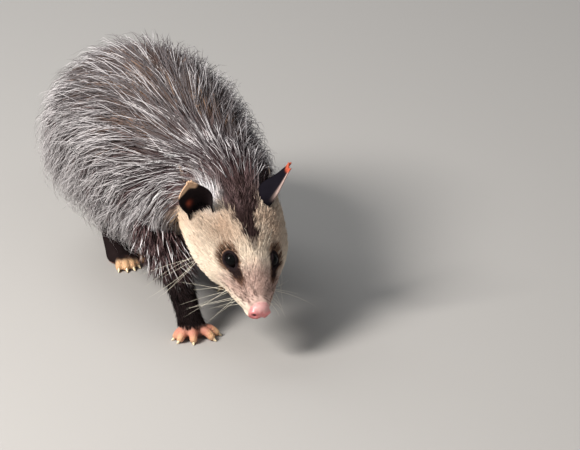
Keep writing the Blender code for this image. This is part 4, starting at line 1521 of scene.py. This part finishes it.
@dataclass
class BodyCoat:
    """The long coat of the neck and torso, in locks over a dense underfur."""

    locks: int = 6600
    hairs: int = 5
    under_count: int = 14000
    halo_count: int = 5500
    spread: float = 1.7
    part_limit: int = 8200
    sunk: float = 1.6
    # share of white locks on the back, what the flank adds, and the share of grey ones
    white_share: float = 0.17
    flank_white: float = 0.47
    grey_share: float = 0.16
    # half widths in millimetres of a white hair and of a darker one
    white_thick: float = 0.50
    dark_thick: float = 0.58
    # sections of a long hair: places, widths, darkness at the root, frost at the tip
    guard_stops: tuple[float, ...] = (0.0, 0.25, 0.5, 0.77, 1.0)
    guard_shape: tuple[float, ...] = (0.75, 1.0, 0.85, 0.55, 0.0)
    guard_dark: tuple[float, ...] = (0.95, 0.62, 0.22, 0.0, 0.0)
    guard_frost: tuple[float, ...] = (0, 0, 0.02, 0.07, 0.16)
    under_shape: tuple[float, ...] = (1.0, 1.1, 0.75, 0.0)
    halo_stops: tuple[float, ...] = (0.0, 0.33, 0.68, 1.0)
    halo_shape: tuple[float, ...] = (0.34, 0.36, 0.26, 0.0)

    def weights(self) -> Array:
        """Return the area of each cell of the body, less where nobody looks.

        Returns:
            Weights, along the body by round it.
        """
        place = (np.arange(110) + 0.5)[:, None] / 110 * TRUNK.last
        angle = (np.arange(90) + 0.5)[None, :] / 90 * TURN
        along, around = TRUNK.strides(*np.broadcast_arrays(place, angle))
        below = fade(-0.55, -0.9, np.sin(angle))
        return along * around * (1 - 0.45 * below) * (0.8 + 0.5 * fade(2.0, 0.3, place))

    @staticmethod
    def roots(place: Array, angle: Array) -> Array:
        """Return where the roots lie on the unwrap of the trunk."""
        return np.stack([np.mod(angle / TURN, 1.0), place / (TRUNK.last + 0.5)], axis=-1)

    def lie(self, place: Array, angle: Array) -> Array:
        """Return how far the hair turns down from straight back, in radians.

        Args:
            place: Places along the body.
            angle: Angles round the body.

        Returns:
            One turn for each place.
        """
        flank = np.abs(np.cos(angle))
        rump = fade(7.0, 9.5, place)
        return np.radians(6 + 40 * flank * (1 - 0.25 * rump))

    def run(
        self, place: Array, angle: Array, length: Array, lie: Array, height: Array, stops: Array
    ) -> Array:
        """Lay middle lines over the body along the lie of the coat.

        Args:
            place: Where each root is along the body.
            angle: Where each root is round the body.
            length: Length of each tuft.
            lie: Turn down from straight back, in radians.
            height: How far each tip stands over the core.
            stops: Shares of the length at which points are set.

        Returns:
            Points of the lines, tufts by stops.
        """
        place, angle = place.copy(), angle.copy()
        down = downward(angle)
        points, gone = [], 0.0
        for stop in stops:
            along, around = TRUNK.strides(place, angle)
            step = (stop - gone) * length
            place += np.cos(lie) * step / along
            angle += down * np.sin(lie) * step / around
            gone = stop
            points.append(TRUNK.point(place, angle, risen(stop, height, self.sunk, 1.6)))
        return np.stack(points, axis=1)

    def tone(
        self, place: Array, angle: Array, points: Array, draw: np.random.Generator
    ) -> tuple[Array, Array]:
        """Return the colour of each lock and how white it is.

        Args:
            place: Where each root is along the body.
            angle: Where each root is round the body.
            points: The roots in the animal's place.
            draw: Seeded source of numbers.

        Returns:
            Colours, and 1 for each white lock.
        """
        up = np.sin(angle)
        saddle = fade(0.55, 0.98, up) * fade(1.2, 3.0, place)
        nape = fade(3.2, 1.0, place) * fade(0.0, 0.7, up)
        share = self.white_share + self.flank_white * fade(0.93, 0.15, up) - 0.10 * saddle - 0.07 * nape
        share = share + 0.12 * waves(points, 38, 11) + 0.05 * fade(5, 8, place)
        pick = draw.random(len(place))
        white = pick < share
        dark = pick > share + self.grey_share * (1 - nape)
        colour = np.where(white[:, None], PAINT.white, PAINT.grey)
        colour = np.where(dark[:, None], PAINT.under, colour)
        warm = saddle * np.clip(0.65 + 0.6 * waves(points, 30, 12), 0, 1)
        colour = blend(colour, PAINT.fawn, np.where(white, 0.55, np.where(dark, 0.27, 0.9)) * warm)
        colour = colour * draw.uniform(0.82, 1.12, len(place))[:, None]
        near_head = fade(0.9, 0.1, place)
        colour = blend(colour, nape_colour(place, angle, points), near_head)
        return np.clip(colour, 0, 0.9), white.astype(float)

    def lengths(self, place: Array) -> Array:
        """Return the usual length of the hair along the body."""
        return np.interp(place, (0, 1, 2, 3, 8, 9, 10), (16, 32, 50, 62, 64, 52, 30))

    def guard(self, draw: np.random.Generator) -> Tufts:
        """Return the long hairs, gathered into locks.

        Args:
            draw: Seeded source of numbers.

        Returns:
            The long hairs.
        """
        row, column = scattered(draw, self.locks, self.weights())
        place, angle = row * TRUNK.last, column * TURN
        stops = np.array(self.guard_stops)
        lie = self.lie(place, angle) + draw.normal(0, 0.13, self.locks)
        root = TRUNK.point(place, angle, 0.0)
        lie += 0.20 * waves(root, 55, 14)
        length = self.lengths(place) * draw.uniform(0.75, 1.15, self.locks)
        height = TRUNK.depth(place) * draw.uniform(0.08, 0.42, self.locks) + 0.8
        middle = self.run(place, angle, length, lie, height, stops)
        colour, white = self.tone(place, angle, root, draw)
        many = np.repeat(np.arange(self.locks), self.hairs)
        count = len(many)
        along, around = TRUNK.strides(place, angle)
        own_place = place[many] + draw.normal(0, self.spread * 1.3, count) / along[many]
        own_angle = angle[many] + draw.normal(0, self.spread, count) / around[many]
        own_place = np.maximum(own_place, 0.02)
        own_length = length[many] * draw.uniform(0.72, 1.12, count)
        own_height = height[many] * draw.uniform(0.75, 1.15, count) + 0.4
        own_lie = lie[many] + draw.normal(0, 0.07, count)
        line = self.run(own_place, own_angle, own_length, own_lie, own_height, stops)
        pull = draw.uniform(0.6, 0.95, count)[:, None] * stops[None] ** 1.2
        line += (middle[many] - line) * pull[..., None]
        line[..., 2] -= (stops**2)[None] * 2.0 * np.abs(np.cos(own_angle))[:, None]
        swing = draw.normal(0, 0.8, (count, 1, 3)) * (stops**1.5)[None, :, None]
        line += swing
        shape = np.array(self.guard_shape)
        thick = np.where(white[many] > 0, self.white_thick, self.dark_thick)
        width = shape[None] * thick[:, None] * draw.uniform(0.75, 1.25, count)[:, None]
        rootwards = np.array(self.guard_dark)[None] * np.ones((count, 1))
        shade = np.where(white[many] > 0, 1.0, 0.6)[:, None] * rootwards * fade(0.1, 0.8, own_place)[:, None]
        rgb = blend(np.repeat(colour[many][:, None], 5, axis=1), PAINT.under, shade)
        frost = (1 - white[many])[:, None] * np.array(self.guard_frost)[None]
        rgb = blend(rgb, PAINT.white, frost * fade(0.3, 1.2, own_place)[:, None])
        roots = self.roots(own_place, own_angle)
        return Tufts(line, width, rgb, roots, TRUNK.outward(own_place, own_angle))

    def under(self, draw: np.random.Generator) -> Tufts:
        """Return the short dark fur that hides the skin between the locks.

        Args:
            draw: Seeded source of numbers.

        Returns:
            The short fur.
        """
        row, column = scattered(draw, self.under_count, self.weights())
        place, angle = row * TRUNK.last, column * TURN
        count = len(place)
        length = self.lengths(place) * draw.uniform(0.38, 0.55, count)
        height = TRUNK.depth(place) * draw.uniform(0.04, 0.18, count) + 0.4
        lie = self.lie(place, angle) + draw.normal(0, 0.2, count)
        line = self.run(place, angle, length, lie, height, STOPS)
        width = np.array(self.under_shape)[None] * draw.uniform(0.85, 1.25, count)[:, None]
        points = TRUNK.point(place, angle, 0.0)
        base = np.array(PAINT.under) * draw.uniform(0.6, 1.6, (count, 1))
        base = blend(base, PAINT.fawn, 0.35 * fade(0.5, 0.95, np.sin(angle)) * fade(1.5, 3, place))
        base = blend(base, nape_colour(place, angle, points), fade(0.8, 0.1, place))
        ramp = np.array([0.7, 0.85, 1.05, 1.3])
        rgb = base[:, None] * ramp[None, :, None]
        return Tufts(line, width, rgb, self.roots(place, angle), TRUNK.outward(place, angle))

    def halo(self, draw: np.random.Generator) -> Tufts:
        """Return the sparse white hairs that stand out past the rest of the coat.

        Args:
            draw: Seeded source of numbers.

        Returns:
            The standing hairs.
        """
        angle = (np.arange(90) + 0.5) / 90 * TURN
        weight = self.weights() * (0.2 + 0.8 * fade(-0.75, -0.2, np.sin(angle)))[None, :]
        row, column = scattered(draw, self.halo_count, weight)
        place, angle = row * TRUNK.last, column * TURN
        stops = np.array(self.halo_stops)
        count = len(place)
        length = self.lengths(place) * draw.uniform(0.8, 1.15, count)
        height = TRUNK.depth(place) * draw.uniform(0.4, 1.08, count) + 0.8
        lie = self.lie(place, angle) + draw.normal(0, 0.2, count)
        line = self.run(place, angle, length, lie, height, stops)
        line += draw.normal(0, 1.8, (count, 1, 3)) * (stops**1.5)[None, :, None]
        line += draw.normal(0, 1.0, (count, 1, 3)) * np.sin(math.pi * stops)[None, :, None]
        width = np.array(self.halo_shape)[None] * draw.uniform(0.7, 1.1, count)[:, None]
        dark = np.array([0.95, 0.7, 0.2, 0.0])[None] * np.ones((count, 1))
        above = fade(0.6, 0.95, np.sin(angle)) * fade(8.5, 6.5, place)
        dark = np.maximum(dark, 0.85 * (draw.random((count, 1)) < (0.12 + 0.6 * above)[:, None]))
        rgb = blend(np.broadcast_to(np.array(PAINT.white), line.shape), PAINT.under, dark)
        return Tufts(line, width, rgb, self.roots(place, angle), TRUNK.outward(place, angle))

    def build(self) -> list[bpy.types.Object]:
        """Make the coat in pieces of a fair size.

        Returns:
            The pieces of the coat.
        """
        draw = np.random.default_rng(SEED)
        guard = self.guard(draw)
        made = [self.halo(draw).thing("coat_halo", COAT_HAIR)]
        parts = math.ceil(len(guard.line) / self.part_limit)
        order = np.argsort(guard.root[:, 1], kind="stable")
        for k, choice in enumerate(np.array_split(order, parts)):
            made.append(guard.picked(choice).thing(f"coat_guard_{k + 1}", COAT_HAIR))
        under = self.under(draw)
        for k, choice in enumerate(np.array_split(np.arange(len(under.line)), 2)):
            made.append(under.picked(choice).thing(f"coat_under_{k + 1}", COAT_HAIR))
        return made


@dataclass
class FaceCoat:
    """The short fur of the face, in small tufts that lie back from the nose."""

    count: int = 19500
    first: float = 14.0
    sunk: float = 0.8
    # how far the fur stays from the middle of each eye and from the line of the mouth
    eye_gap: float = 6.1
    mouth_gap: float = 1.0

    def build(self) -> list[bpy.types.Object]:
        """Make the tufts of the face, shortest on the snout.

        Returns:
            The two pieces of the face.
        """
        draw = np.random.default_rng(SEED + 1)
        back = (np.arange(80) + 0.5)[:, None] / 80 * (HEAD.end + 1 - self.first) + self.first
        angle = (np.arange(72) + 0.5)[None, :] / 72 * TURN
        step = 0.02
        around = HEAD.surface(back, angle + step) - HEAD.surface(back, angle - step)
        weight = np.linalg.norm(around, axis=-1) * np.interp(back, (self.first, 40, 70), (1.6, 1.2, 1.0))
        row, column = scattered(draw, self.count, weight)
        back = row * (HEAD.end + 1 - self.first) + self.first
        angle = column * TURN
        low = fade(0.1, -0.6, np.sin(angle))
        length = np.interp(back, (self.first, 30, 50, 75, 104), (1.8, 3.2, 5.5, 8.5, 13.0))
        length = length * (1 + 0.35 * low * fade(50, 90, back)) * draw.uniform(0.7, 1.25, self.count)
        down = downward(angle)
        fall = down * (0.12 + 0.45 * low) + draw.normal(0, 0.16, self.count)
        fall += 0.15 * waves(HEAD.surface(back, angle), 20, 31)
        wide = np.maximum(np.linalg.norm(HEAD.surface(back, angle)[:, ::2], axis=1), 6.0)
        lines, height = [], length * draw.uniform(0.14, 0.30, self.count)
        for stop in STOPS:
            b = back + np.cos(fall) * length * stop
            a = angle + np.sin(fall) * length * stop / wide
            over = risen(stop, height, self.sunk)
            past = np.maximum(b - HEAD.end, 0.0)
            over_neck = np.stack([past * 0, past, past * 0], axis=-1)
            lines.append(HEAD.surface(np.minimum(b, HEAD.end + 14), a, over) + over_neck)
        local = np.stack(lines, axis=1)
        keep = self.clear_of_eyes(local) & self.clear_of_mouth(local[:, 0]) & (ear_foot(local[:, 2]) < 0.3)
        size = np.interp(back, (self.first, 50, 104), (0.20, 0.30, 0.42))
        size = size * draw.uniform(0.8, 1.2, self.count)
        width = TAPER[None] * size[:, None]
        colour = head_colour(local[:, 0])
        colour = colour * (draw.uniform(0.86, 1.1, self.count))[:, None]
        rgb = np.clip(colour[:, None] * np.array([0.8, 0.95, 1.05, 1.1])[None, :, None], 0, 0.92)
        centre = HEAD.surface(back, angle, -5)
        outward = unit(local[:, 0] - centre) @ HEAD.frame().T
        unwrap = np.stack([column, (back - self.first) / (HEAD.end + 2 - self.first)], axis=-1)
        tufts = Tufts(HEAD.to_body(local), width, rgb, unwrap, outward).picked(keep)
        half = np.array_split(np.arange(len(tufts.line)), 2)
        return [tufts.picked(choice).thing(f"face_fur_{k + 1}", FACE_HAIR) for k, choice in enumerate(half)]

    def clear_of_eyes(self, local: Array) -> Array:
        """Say which tufts stay off the eyeballs and the bare lids.

        Args:
            local: Middle lines in the head's own axes.

        Returns:
            True for each tuft that is kept.
        """
        keep = np.ones(len(local), bool)
        for side in Side:
            axes, centre = HEAD.eye_frame(side), HEAD.eye_centre(side)
            for stop in range(local.shape[1]):
                spot = (local[:, stop] - centre) @ axes
                flat = np.hypot(spot[:, 0] / 1.22, spot[:, 1] / 0.95)
                keep &= ~((flat < self.eye_gap) & (spot[:, 2] > -2))
        return keep

    def clear_of_mouth(self, roots: Array) -> Array:
        """Say which tufts stay off the line of the mouth.

        Args:
            roots: Roots in the head's own axes.

        Returns:
            True for each tuft that is kept.
        """
        line = HeadSkin().mouth_path()
        low = (roots[:, 2] < 2) & (roots[:, 1] < 58)
        keep = np.ones(len(roots), bool)
        near = np.linalg.norm(roots[low][:, None] - line[None, ::2], axis=-1).min(axis=1)
        keep[low] = near > self.mouth_gap
        return keep


@dataclass
class LimbCoat:
    """The fur of one leg: long and streaked where it leaves the body, short and black below."""

    limb: LimbSkin
    count: int = 1900
    sunk: float = 0.9
    streaked_from: float = 36.0
    streaked_full: float = 60.0

    def build(self, draw: np.random.Generator) -> Tufts:
        """Return the tufts of one leg.

        Args:
            draw: Seeded source of numbers.

        Returns:
            The tufts, pointing down the leg.
        """
        rows = np.array(self.limb.leg)
        last = len(rows) - 1
        place = draw.random(self.count) ** 1.1 * last * 0.985
        angle = draw.random(self.count) * TURN
        at = curve_at(rows, place)
        below = curve_at(rows, np.minimum(place + 0.1, last))
        above = curve_at(rows, np.maximum(place - 0.1, 0))
        ahead = unit(below[:, :3] - above[:, :3])
        out = np.stack([np.cos(angle), np.sin(angle), np.zeros(self.count)], axis=-1)
        root = at[:, :3] + out * np.stack([at[:, 3], at[:, 4], at[:, 4]], axis=-1)
        high = fade(self.streaked_from, self.streaked_full, at[:, 2])
        length = (4.5 + 8 * high + 3 * fade(20, 45, at[:, 2])) * draw.uniform(0.6, 1.3, self.count)
        rise = (0.10 + 0.12 * high) * length
        way = unit(ahead + draw.normal(0, 0.2, (self.count, 3)) + np.array([0, 0.35, 0]) * high[:, None])
        line = root[:, None] + way[:, None] * (length[:, None] * STOPS)[..., None]
        line += out[:, None] * risen(STOPS, rise[:, None], self.sunk)[..., None]
        size = (0.33 + 0.15 * high) * draw.uniform(0.8, 1.2, self.count)
        width = TAPER[None] * size[:, None]
        pick = draw.random((self.count, 1))
        streak = np.where(pick < 0.12, PAINT.white, np.where(pick < 0.7, PAINT.grey, PAINT.under))
        black = np.array(PAINT.leg) * draw.uniform(0.4, 1.4, (self.count, 1))
        colour = blend(black, streak, high)
        rgb = np.clip(colour[:, None] * np.array([0.4, 0.8, 1.05, 1.15])[None, :, None], 0, 0.9)
        unwrap = np.stack([angle / TURN, place / last], axis=-1)
        return Tufts(line, width, rgb, unwrap, out)


@dataclass(frozen=True)
class WhiskerGroup:
    """One patch of whiskers: where it grows and how its hairs fan out in the head's axes."""

    back: float
    angle: float
    many: int
    length: float
    # backward and upward shares of the first and the last hair of the fan
    first: tuple[float, float]
    last: tuple[float, float]
    lean: float = 0.85


@dataclass
class Whiskers:
    """The long pale hairs of the snout, cheeks and brows."""

    groups: tuple[WhiskerGroup, ...] = (
        WhiskerGroup(17, -8, 3, 22, (-0.5, -0.1), (0.3, -0.5)),
        WhiskerGroup(22, -18, 3, 32, (-0.45, -0.2), (0.5, -0.55)),
        WhiskerGroup(27, -10, 3, 38, (-0.3, 0.05), (0.6, -0.4)),
        WhiskerGroup(33, -28, 2, 30, (-0.2, -0.4), (0.4, -0.7)),
        WhiskerGroup(63, -26, 6, 46, (-0.6, -0.8), (0.3, -0.35), 0.75),
        WhiskerGroup(52, 66, 2, 20, (0.2, 0.6), (0.5, 0.5), 0.6),
    )
    thick: float = 0.145

    def build(self) -> bpy.types.Object:
        """Make the whiskers of both sides.

        Returns:
            The whiskers as one piece.
        """
        draw = np.random.default_rng(SEED + 5)
        lines, widths, roots = [], [], []
        stops = np.linspace(0, 1, 9)
        for side in Side:
            for group in self.groups:
                for share in np.linspace(0, 1, group.many):
                    back = np.array(group.back + draw.uniform(-3, 3))
                    angle = math.radians(group.angle + draw.uniform(-8, 8))
                    angle = np.array(angle if side is Side.LEFT else math.pi - angle)
                    root = HEAD.surface(back, angle, -1.0)
                    out = unit(HEAD.surface(back, angle, 4.0) - root) * group.lean
                    fan = np.array(group.first) + (np.array(group.last) - group.first) * share
                    way = unit(out + (0, *(fan + draw.normal(0, 0.13, 2))))
                    reach = group.length * draw.uniform(0.75, 1.15)
                    bend = np.array([0, 0.22, -0.34]) + draw.normal(0, 0.10, 3)
                    line = root + way * (reach * stops)[:, None] + bend * (reach * stops**2)[:, None]
                    lines.append(HEAD.to_body(line))
                    widths.append(self.thick * (1 - 0.8 * stops))
                    roots.append((float(angle) / TURN % 1, float(back) / (HEAD.end + 2)))
        line = np.array(lines)
        colour = np.broadcast_to(np.array(PAINT.whisker), line.shape).copy()
        outward = np.broadcast_to(np.array([0.0, 0.0, 1.0]), (len(line), 3))
        hairs = Tufts(line, np.array(widths), colour, np.array(roots), outward, 1.0)
        return hairs.thing("whiskers", WHISKER_HAIR)


@dataclass
class TailFur:
    """The fur that runs on from the rump over the first lengths of the tail."""

    count: int = 1400
    reach: float = 1.7

    def build(self, draw: np.random.Generator) -> Tufts:
        """Return the tufts round the root of the tail.

        Args:
            draw: Seeded source of numbers.

        Returns:
            The tufts, pointing down the tail.
        """
        rows = np.array(TailSkin().path)
        place = draw.random(self.count) ** 1.5 * self.reach
        angle = draw.random(self.count) * TURN
        at = curve_at(rows, place)
        ahead = unit(curve_at(rows, place + 0.1)[:, :3] - curve_at(rows, np.maximum(place - 0.1, 0))[:, :3])
        side = unit(np.cross(ahead, [0.0, 0, 1]))
        other = np.cross(ahead, side)
        out = side * np.cos(angle)[:, None] + other * np.sin(angle)[:, None]
        length = np.interp(place, (0, 0.6, self.reach), (26, 15, 5)) * draw.uniform(0.7, 1.2, self.count)
        way = unit(ahead + draw.normal(0, 0.12, (self.count, 3)))
        sunk = at[:, :3] + out * (at[:, 3:4] - 1.2)
        line = sunk[:, None] + way[:, None] * (length[:, None] * STOPS)[..., None]
        line += out[:, None] * risen(STOPS, 0.2 * length[:, None], 0.0)[..., None]
        width = TAPER[None] * draw.uniform(0.4, 0.6, self.count)[:, None]
        white = draw.random(self.count) < np.interp(place, (0, self.reach), (0.45, 0.1))
        colour = np.where(white[:, None], PAINT.white, PAINT.under)
        rgb = np.repeat(colour[:, None], 4, axis=1)
        unwrap = np.stack([angle / TURN, place / self.reach], axis=-1)
        return Tufts(line, width, rgb, unwrap, out)


@dataclass
class Eyes:
    """The two wet black eyeballs."""

    def build(self, side: Side) -> bpy.types.Object:
        """Make one eyeball a little inside its solid.

        Args:
            side: Which eye.

        Returns:
            The eyeball.
        """
        axes = HEAD.frame() @ HEAD.eye_frame(side)
        centre = HEAD.to_body(HEAD.eye_centre(side))
        form = ball(centre, (HEAD.eye_radius,) * 3, axes, 48, 30)
        made = form.thing("eyeball_" + side.word)
        local = (form.points - centre) @ axes
        ring = fade(3.6, 4.6, np.hypot(local[:, 0], local[:, 1]))
        mark = np.ones((len(form.points), 4))
        mark[:, :3] = blend(np.array(PAINT.pupil), PAINT.iris, ring)
        put_marks(made.data, mark)
        made.data.materials.append(EYE_GLOSS.material())
        made.data.shade_smooth()
        return made


RIGHT_EAR = EarSkin(Side.RIGHT, (-36, 86, 21), (-50, 96, 43), (-0.50, -0.56, 0.66), wide=11.9)
LEFT_EAR = EarSkin(
    Side.LEFT, (27, 97, 21), (35, 104, 53), (0.9, -0.35, 0.1), floor_back=4.0, floor_deep=7.0, flare=0.2
)
FORE_DIGITS = ((-84, 17), (-58, 18.5), (-18, 17.5), (38, 20), (70, 21))
HIND_DIGITS = ((-22, 24), (-7, 25), (8, 24), (24, 22))


def limbs() -> tuple[LimbSkin, ...]:
    """Return the four legs with their feet, as the solids have them.

    Returns:
        Right and left fore leg, then right and left hind leg.
    """
    fore_right = ((-39, -78, 86, 17, 19), (-39, -92, 68, 16, 17), (-37, -107, 50, 11.5, 12.5),
                  (-35, -124, 33, 10, 10.5), (-34, -136, 18, 9.5, 9.5), (-33, -138.5, 11, 9.8, 9.5))
    fore_left = ((40, -60, 84, 15, 17), (40, -60, 66, 13, 15), (39, -58, 48, 11.5, 12.5),
                 (39, -53, 32, 10, 10.5), (40, -50, 18, 9.5, 9.5), (41, -51, 11, 9.8, 9.5))
    hind_right = ((-40, 20, 88, 20, 26), (-39, 25, 70, 16, 20), (-36, 36, 52, 11.5, 14),
                  (-32, 45, 38, 9.5, 10.5), (-30, 47, 25, 8.8, 9.2))
    hind_left = ((42, 60, 88, 20, 26), (41, 68, 70, 16, 20), (38, 82, 50, 11, 14),
                 (34, 91, 34, 9, 10), (32, 90, 19, 8.5, 9.5))
    sole_fore = ((9.4, 9.2, 14), (10.2, 9.6, 8.5), (10.4, 9.6, 4), (8.8, 8.2, 0.4))
    made = []
    for side, leg, x, y in ((Side.RIGHT, fore_right, -32, -139), (Side.LEFT, fore_left, 41, -52)):
        foot = tuple((x, y, z, wide - 0.4, long - 0.4) for wide, long, z in sole_fore)
        made.append(LimbSkin(side, "fore", leg, foot, FORE_DIGITS, (x, y)))
    right_foot = ((-30, 47, 27, 8.4, 8.8), (-29.5, 41.5, 16, 8.8, 10.6), (-28.8, 36, 8.5, 9.4, 12.1),
                  (-28.5, 33, 3.5, 9.8, 11.6), (-28.5, 32, 0.4, 8.6, 10.4))
    left_foot = ((32, 90, 21, 8.1, 9.1), (31.5, 92, 14, 8.4, 12.1), (31, 88, 8, 9.0, 16.6),
                 (30.5, 86, 3.5, 9.4, 18.1), (30.5, 86, 0.4, 8, 16.5))
    for side, leg, foot in ((Side.RIGHT, hind_right, right_foot), (Side.LEFT, hind_left, left_foot)):
        start = (foot[-1][0], foot[-1][1] - foot[-1][4] + 10)
        made.append(LimbSkin(side, "hind", leg, foot, HIND_DIGITS, start, 3.35, great_toe=True))
    return tuple(made)


@dataclass(frozen=True)
class Lamp:
    """One soft light: direction round the animal and height in degrees, watts, metres, colour."""

    name: str
    azimuth: float
    elevation: float
    power: float
    size: float
    colour: Colour = (1.0, 1.0, 1.0)


@dataclass
class Studio:
    """The camera of the photo, a plain pale floor and plain soft light."""

    azimuth: float = -22.0
    elevation: float = 21.0
    anchor: tuple[float, float, float] = (-34, -150, 0)
    aside: float = 73.0
    above: float = 90.0
    distance: float = 4300.0
    focal: float = 5584.0
    wide: int = 580
    reach: float = 1.9
    lamps: tuple[Lamp, ...] = (
        Lamp("key", -72, 42, 56, 0.6, (1.0, 0.955, 0.915)),
        Lamp("fill", 10, 35, 4, 1.8),
        Lamp("rim", -165, 48, 15, 1.2),
    )
    sky: Colour = (0.92, 0.95, 1.0)
    sky_strength: float = 0.22
    floor_reach: float = 8.0

    def direction(self, azimuth: float, elevation: float) -> Vector:
        """Return the direction from the animal towards a camera or a light."""
        a, e = math.radians(azimuth), math.radians(elevation)
        return Vector((math.sin(a) * math.cos(e), -math.cos(a) * math.cos(e), math.sin(e)))

    def camera(self) -> None:
        """Set the camera at the photo's viewing angle."""
        back = self.direction(self.azimuth, self.elevation)
        turn = back.to_track_quat("Z", "Y")
        aim = Vector((np.array(self.anchor) + OFFSET) * MM)
        aim += turn @ Vector((self.aside * MM, self.above * MM, 0))
        lens = bpy.data.cameras.new("camera")
        lens.sensor_width = 36
        lens.lens = self.focal / self.wide * lens.sensor_width
        lens.clip_end = 30
        eye = bpy.data.objects.new("camera", lens)
        eye.location = aim + back * self.distance * MM
        eye.rotation_euler = turn.to_euler()
        bpy.context.scene.collection.objects.link(eye)
        bpy.context.scene.camera = eye

    def hang(self, plan: Lamp) -> None:
        """Hang one soft light that looks at the animal.

        Args:
            plan: Its place, power, size and colour.
        """
        light = bpy.data.lights.new(plan.name, "AREA")
        light.energy, light.size = plan.power, plan.size
        light.color = plan.colour
        lamp = bpy.data.objects.new(plan.name, light)
        back = self.direction(plan.azimuth, plan.elevation)
        lamp.location = back * self.reach
        lamp.rotation_euler = back.to_track_quat("Z", "Y").to_euler()
        bpy.context.scene.collection.objects.link(lamp)

    def floor(self) -> None:
        """Lay the plain pale floor."""
        mesh = bpy.data.meshes.new("floor")
        far = self.floor_reach
        corners = [(-far, -far, 0), (far, -far, 0), (far, far, 0), (-far, far, 0)]
        mesh.from_pydata(corners, [], [(0, 1, 2, 3)])
        paint = bpy.data.materials.new("floor_paint")
        paint.use_nodes = True
        shader = paint.node_tree.nodes["Principled BSDF"]
        shader.inputs["Base Color"].default_value = (*PAINT.floor, 1)
        shader.inputs["Roughness"].default_value = 0.9
        mesh.materials.append(paint)
        floor = bpy.data.objects.new("floor", mesh)
        bpy.context.scene.collection.objects.link(floor)

    def build(self) -> None:
        """Set camera, floor and lights."""
        self.camera()
        self.floor()
        for plan in self.lamps:
            self.hang(plan)
        world = bpy.data.worlds.new("room")
        world.use_nodes = True
        sky = world.node_tree.nodes["Background"]
        sky.inputs["Color"].default_value = (*self.sky, 1)
        sky.inputs["Strength"].default_value = self.sky_strength
        bpy.context.scene.world = world
        bpy.context.scene.view_settings.view_transform = "Standard"


def place(piece: bpy.types.Object, slot: str, *nodes: str) -> None:
    """Fix a piece to the still body, hide the solids it stands for and report it.

    Args:
        piece: The piece.
        slot: Not used.
        nodes: The solids that it stands for.
    """
    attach(piece, "root")
    if nodes:
        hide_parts(*nodes)
    triangles = len(piece.data.loops) - 2 * len(piece.data.polygons)
    log.info("%s: %d triangles", piece.name, triangles)


def main() -> None:
    """Build the skin, eyes, claws and coat, then the studio."""
    logging.basicConfig(level=logging.INFO, format="%(message)s")
    legs = limbs()
    skin = Skin(legs, (RIGHT_EAR, LEFT_EAR))
    place(skin.build(), "face_fur", *skin.nodes)
    for side in Side:
        place(Eyes().build(side), "eye", "eye_" + side.word)
    claws = Form.joined([limb.claws() for limb in legs])
    horn = claws.thing("claws")
    put_marks(horn.data, np.ones((len(claws.points), 4)) * (*PAINT.claw, 1))
    horn.data.materials.append(CLAW_HORN.material())
    horn.data.shade_smooth()
    place(horn, "foot_skin")
    for piece in BodyCoat().build():
        place(piece, "coat")
    for piece in FaceCoat().build():
        place(piece, "face_fur")
    draw = np.random.default_rng(SEED + 2)
    for limb in legs:
        tufts = LimbCoat(limb, 3600 if limb.kind == "fore" else 1400).build(draw)
        place(tufts.thing(f"leg_fur_{limb.kind}_{limb.side.word}", COAT_HAIR), "leg_fur")
    place(TailFur().build(draw).thing("tail_fur", COAT_HAIR), "coat")
    place(Whiskers().build(), "coat")
    Studio().build()


if __name__ == "__main__":
    main()
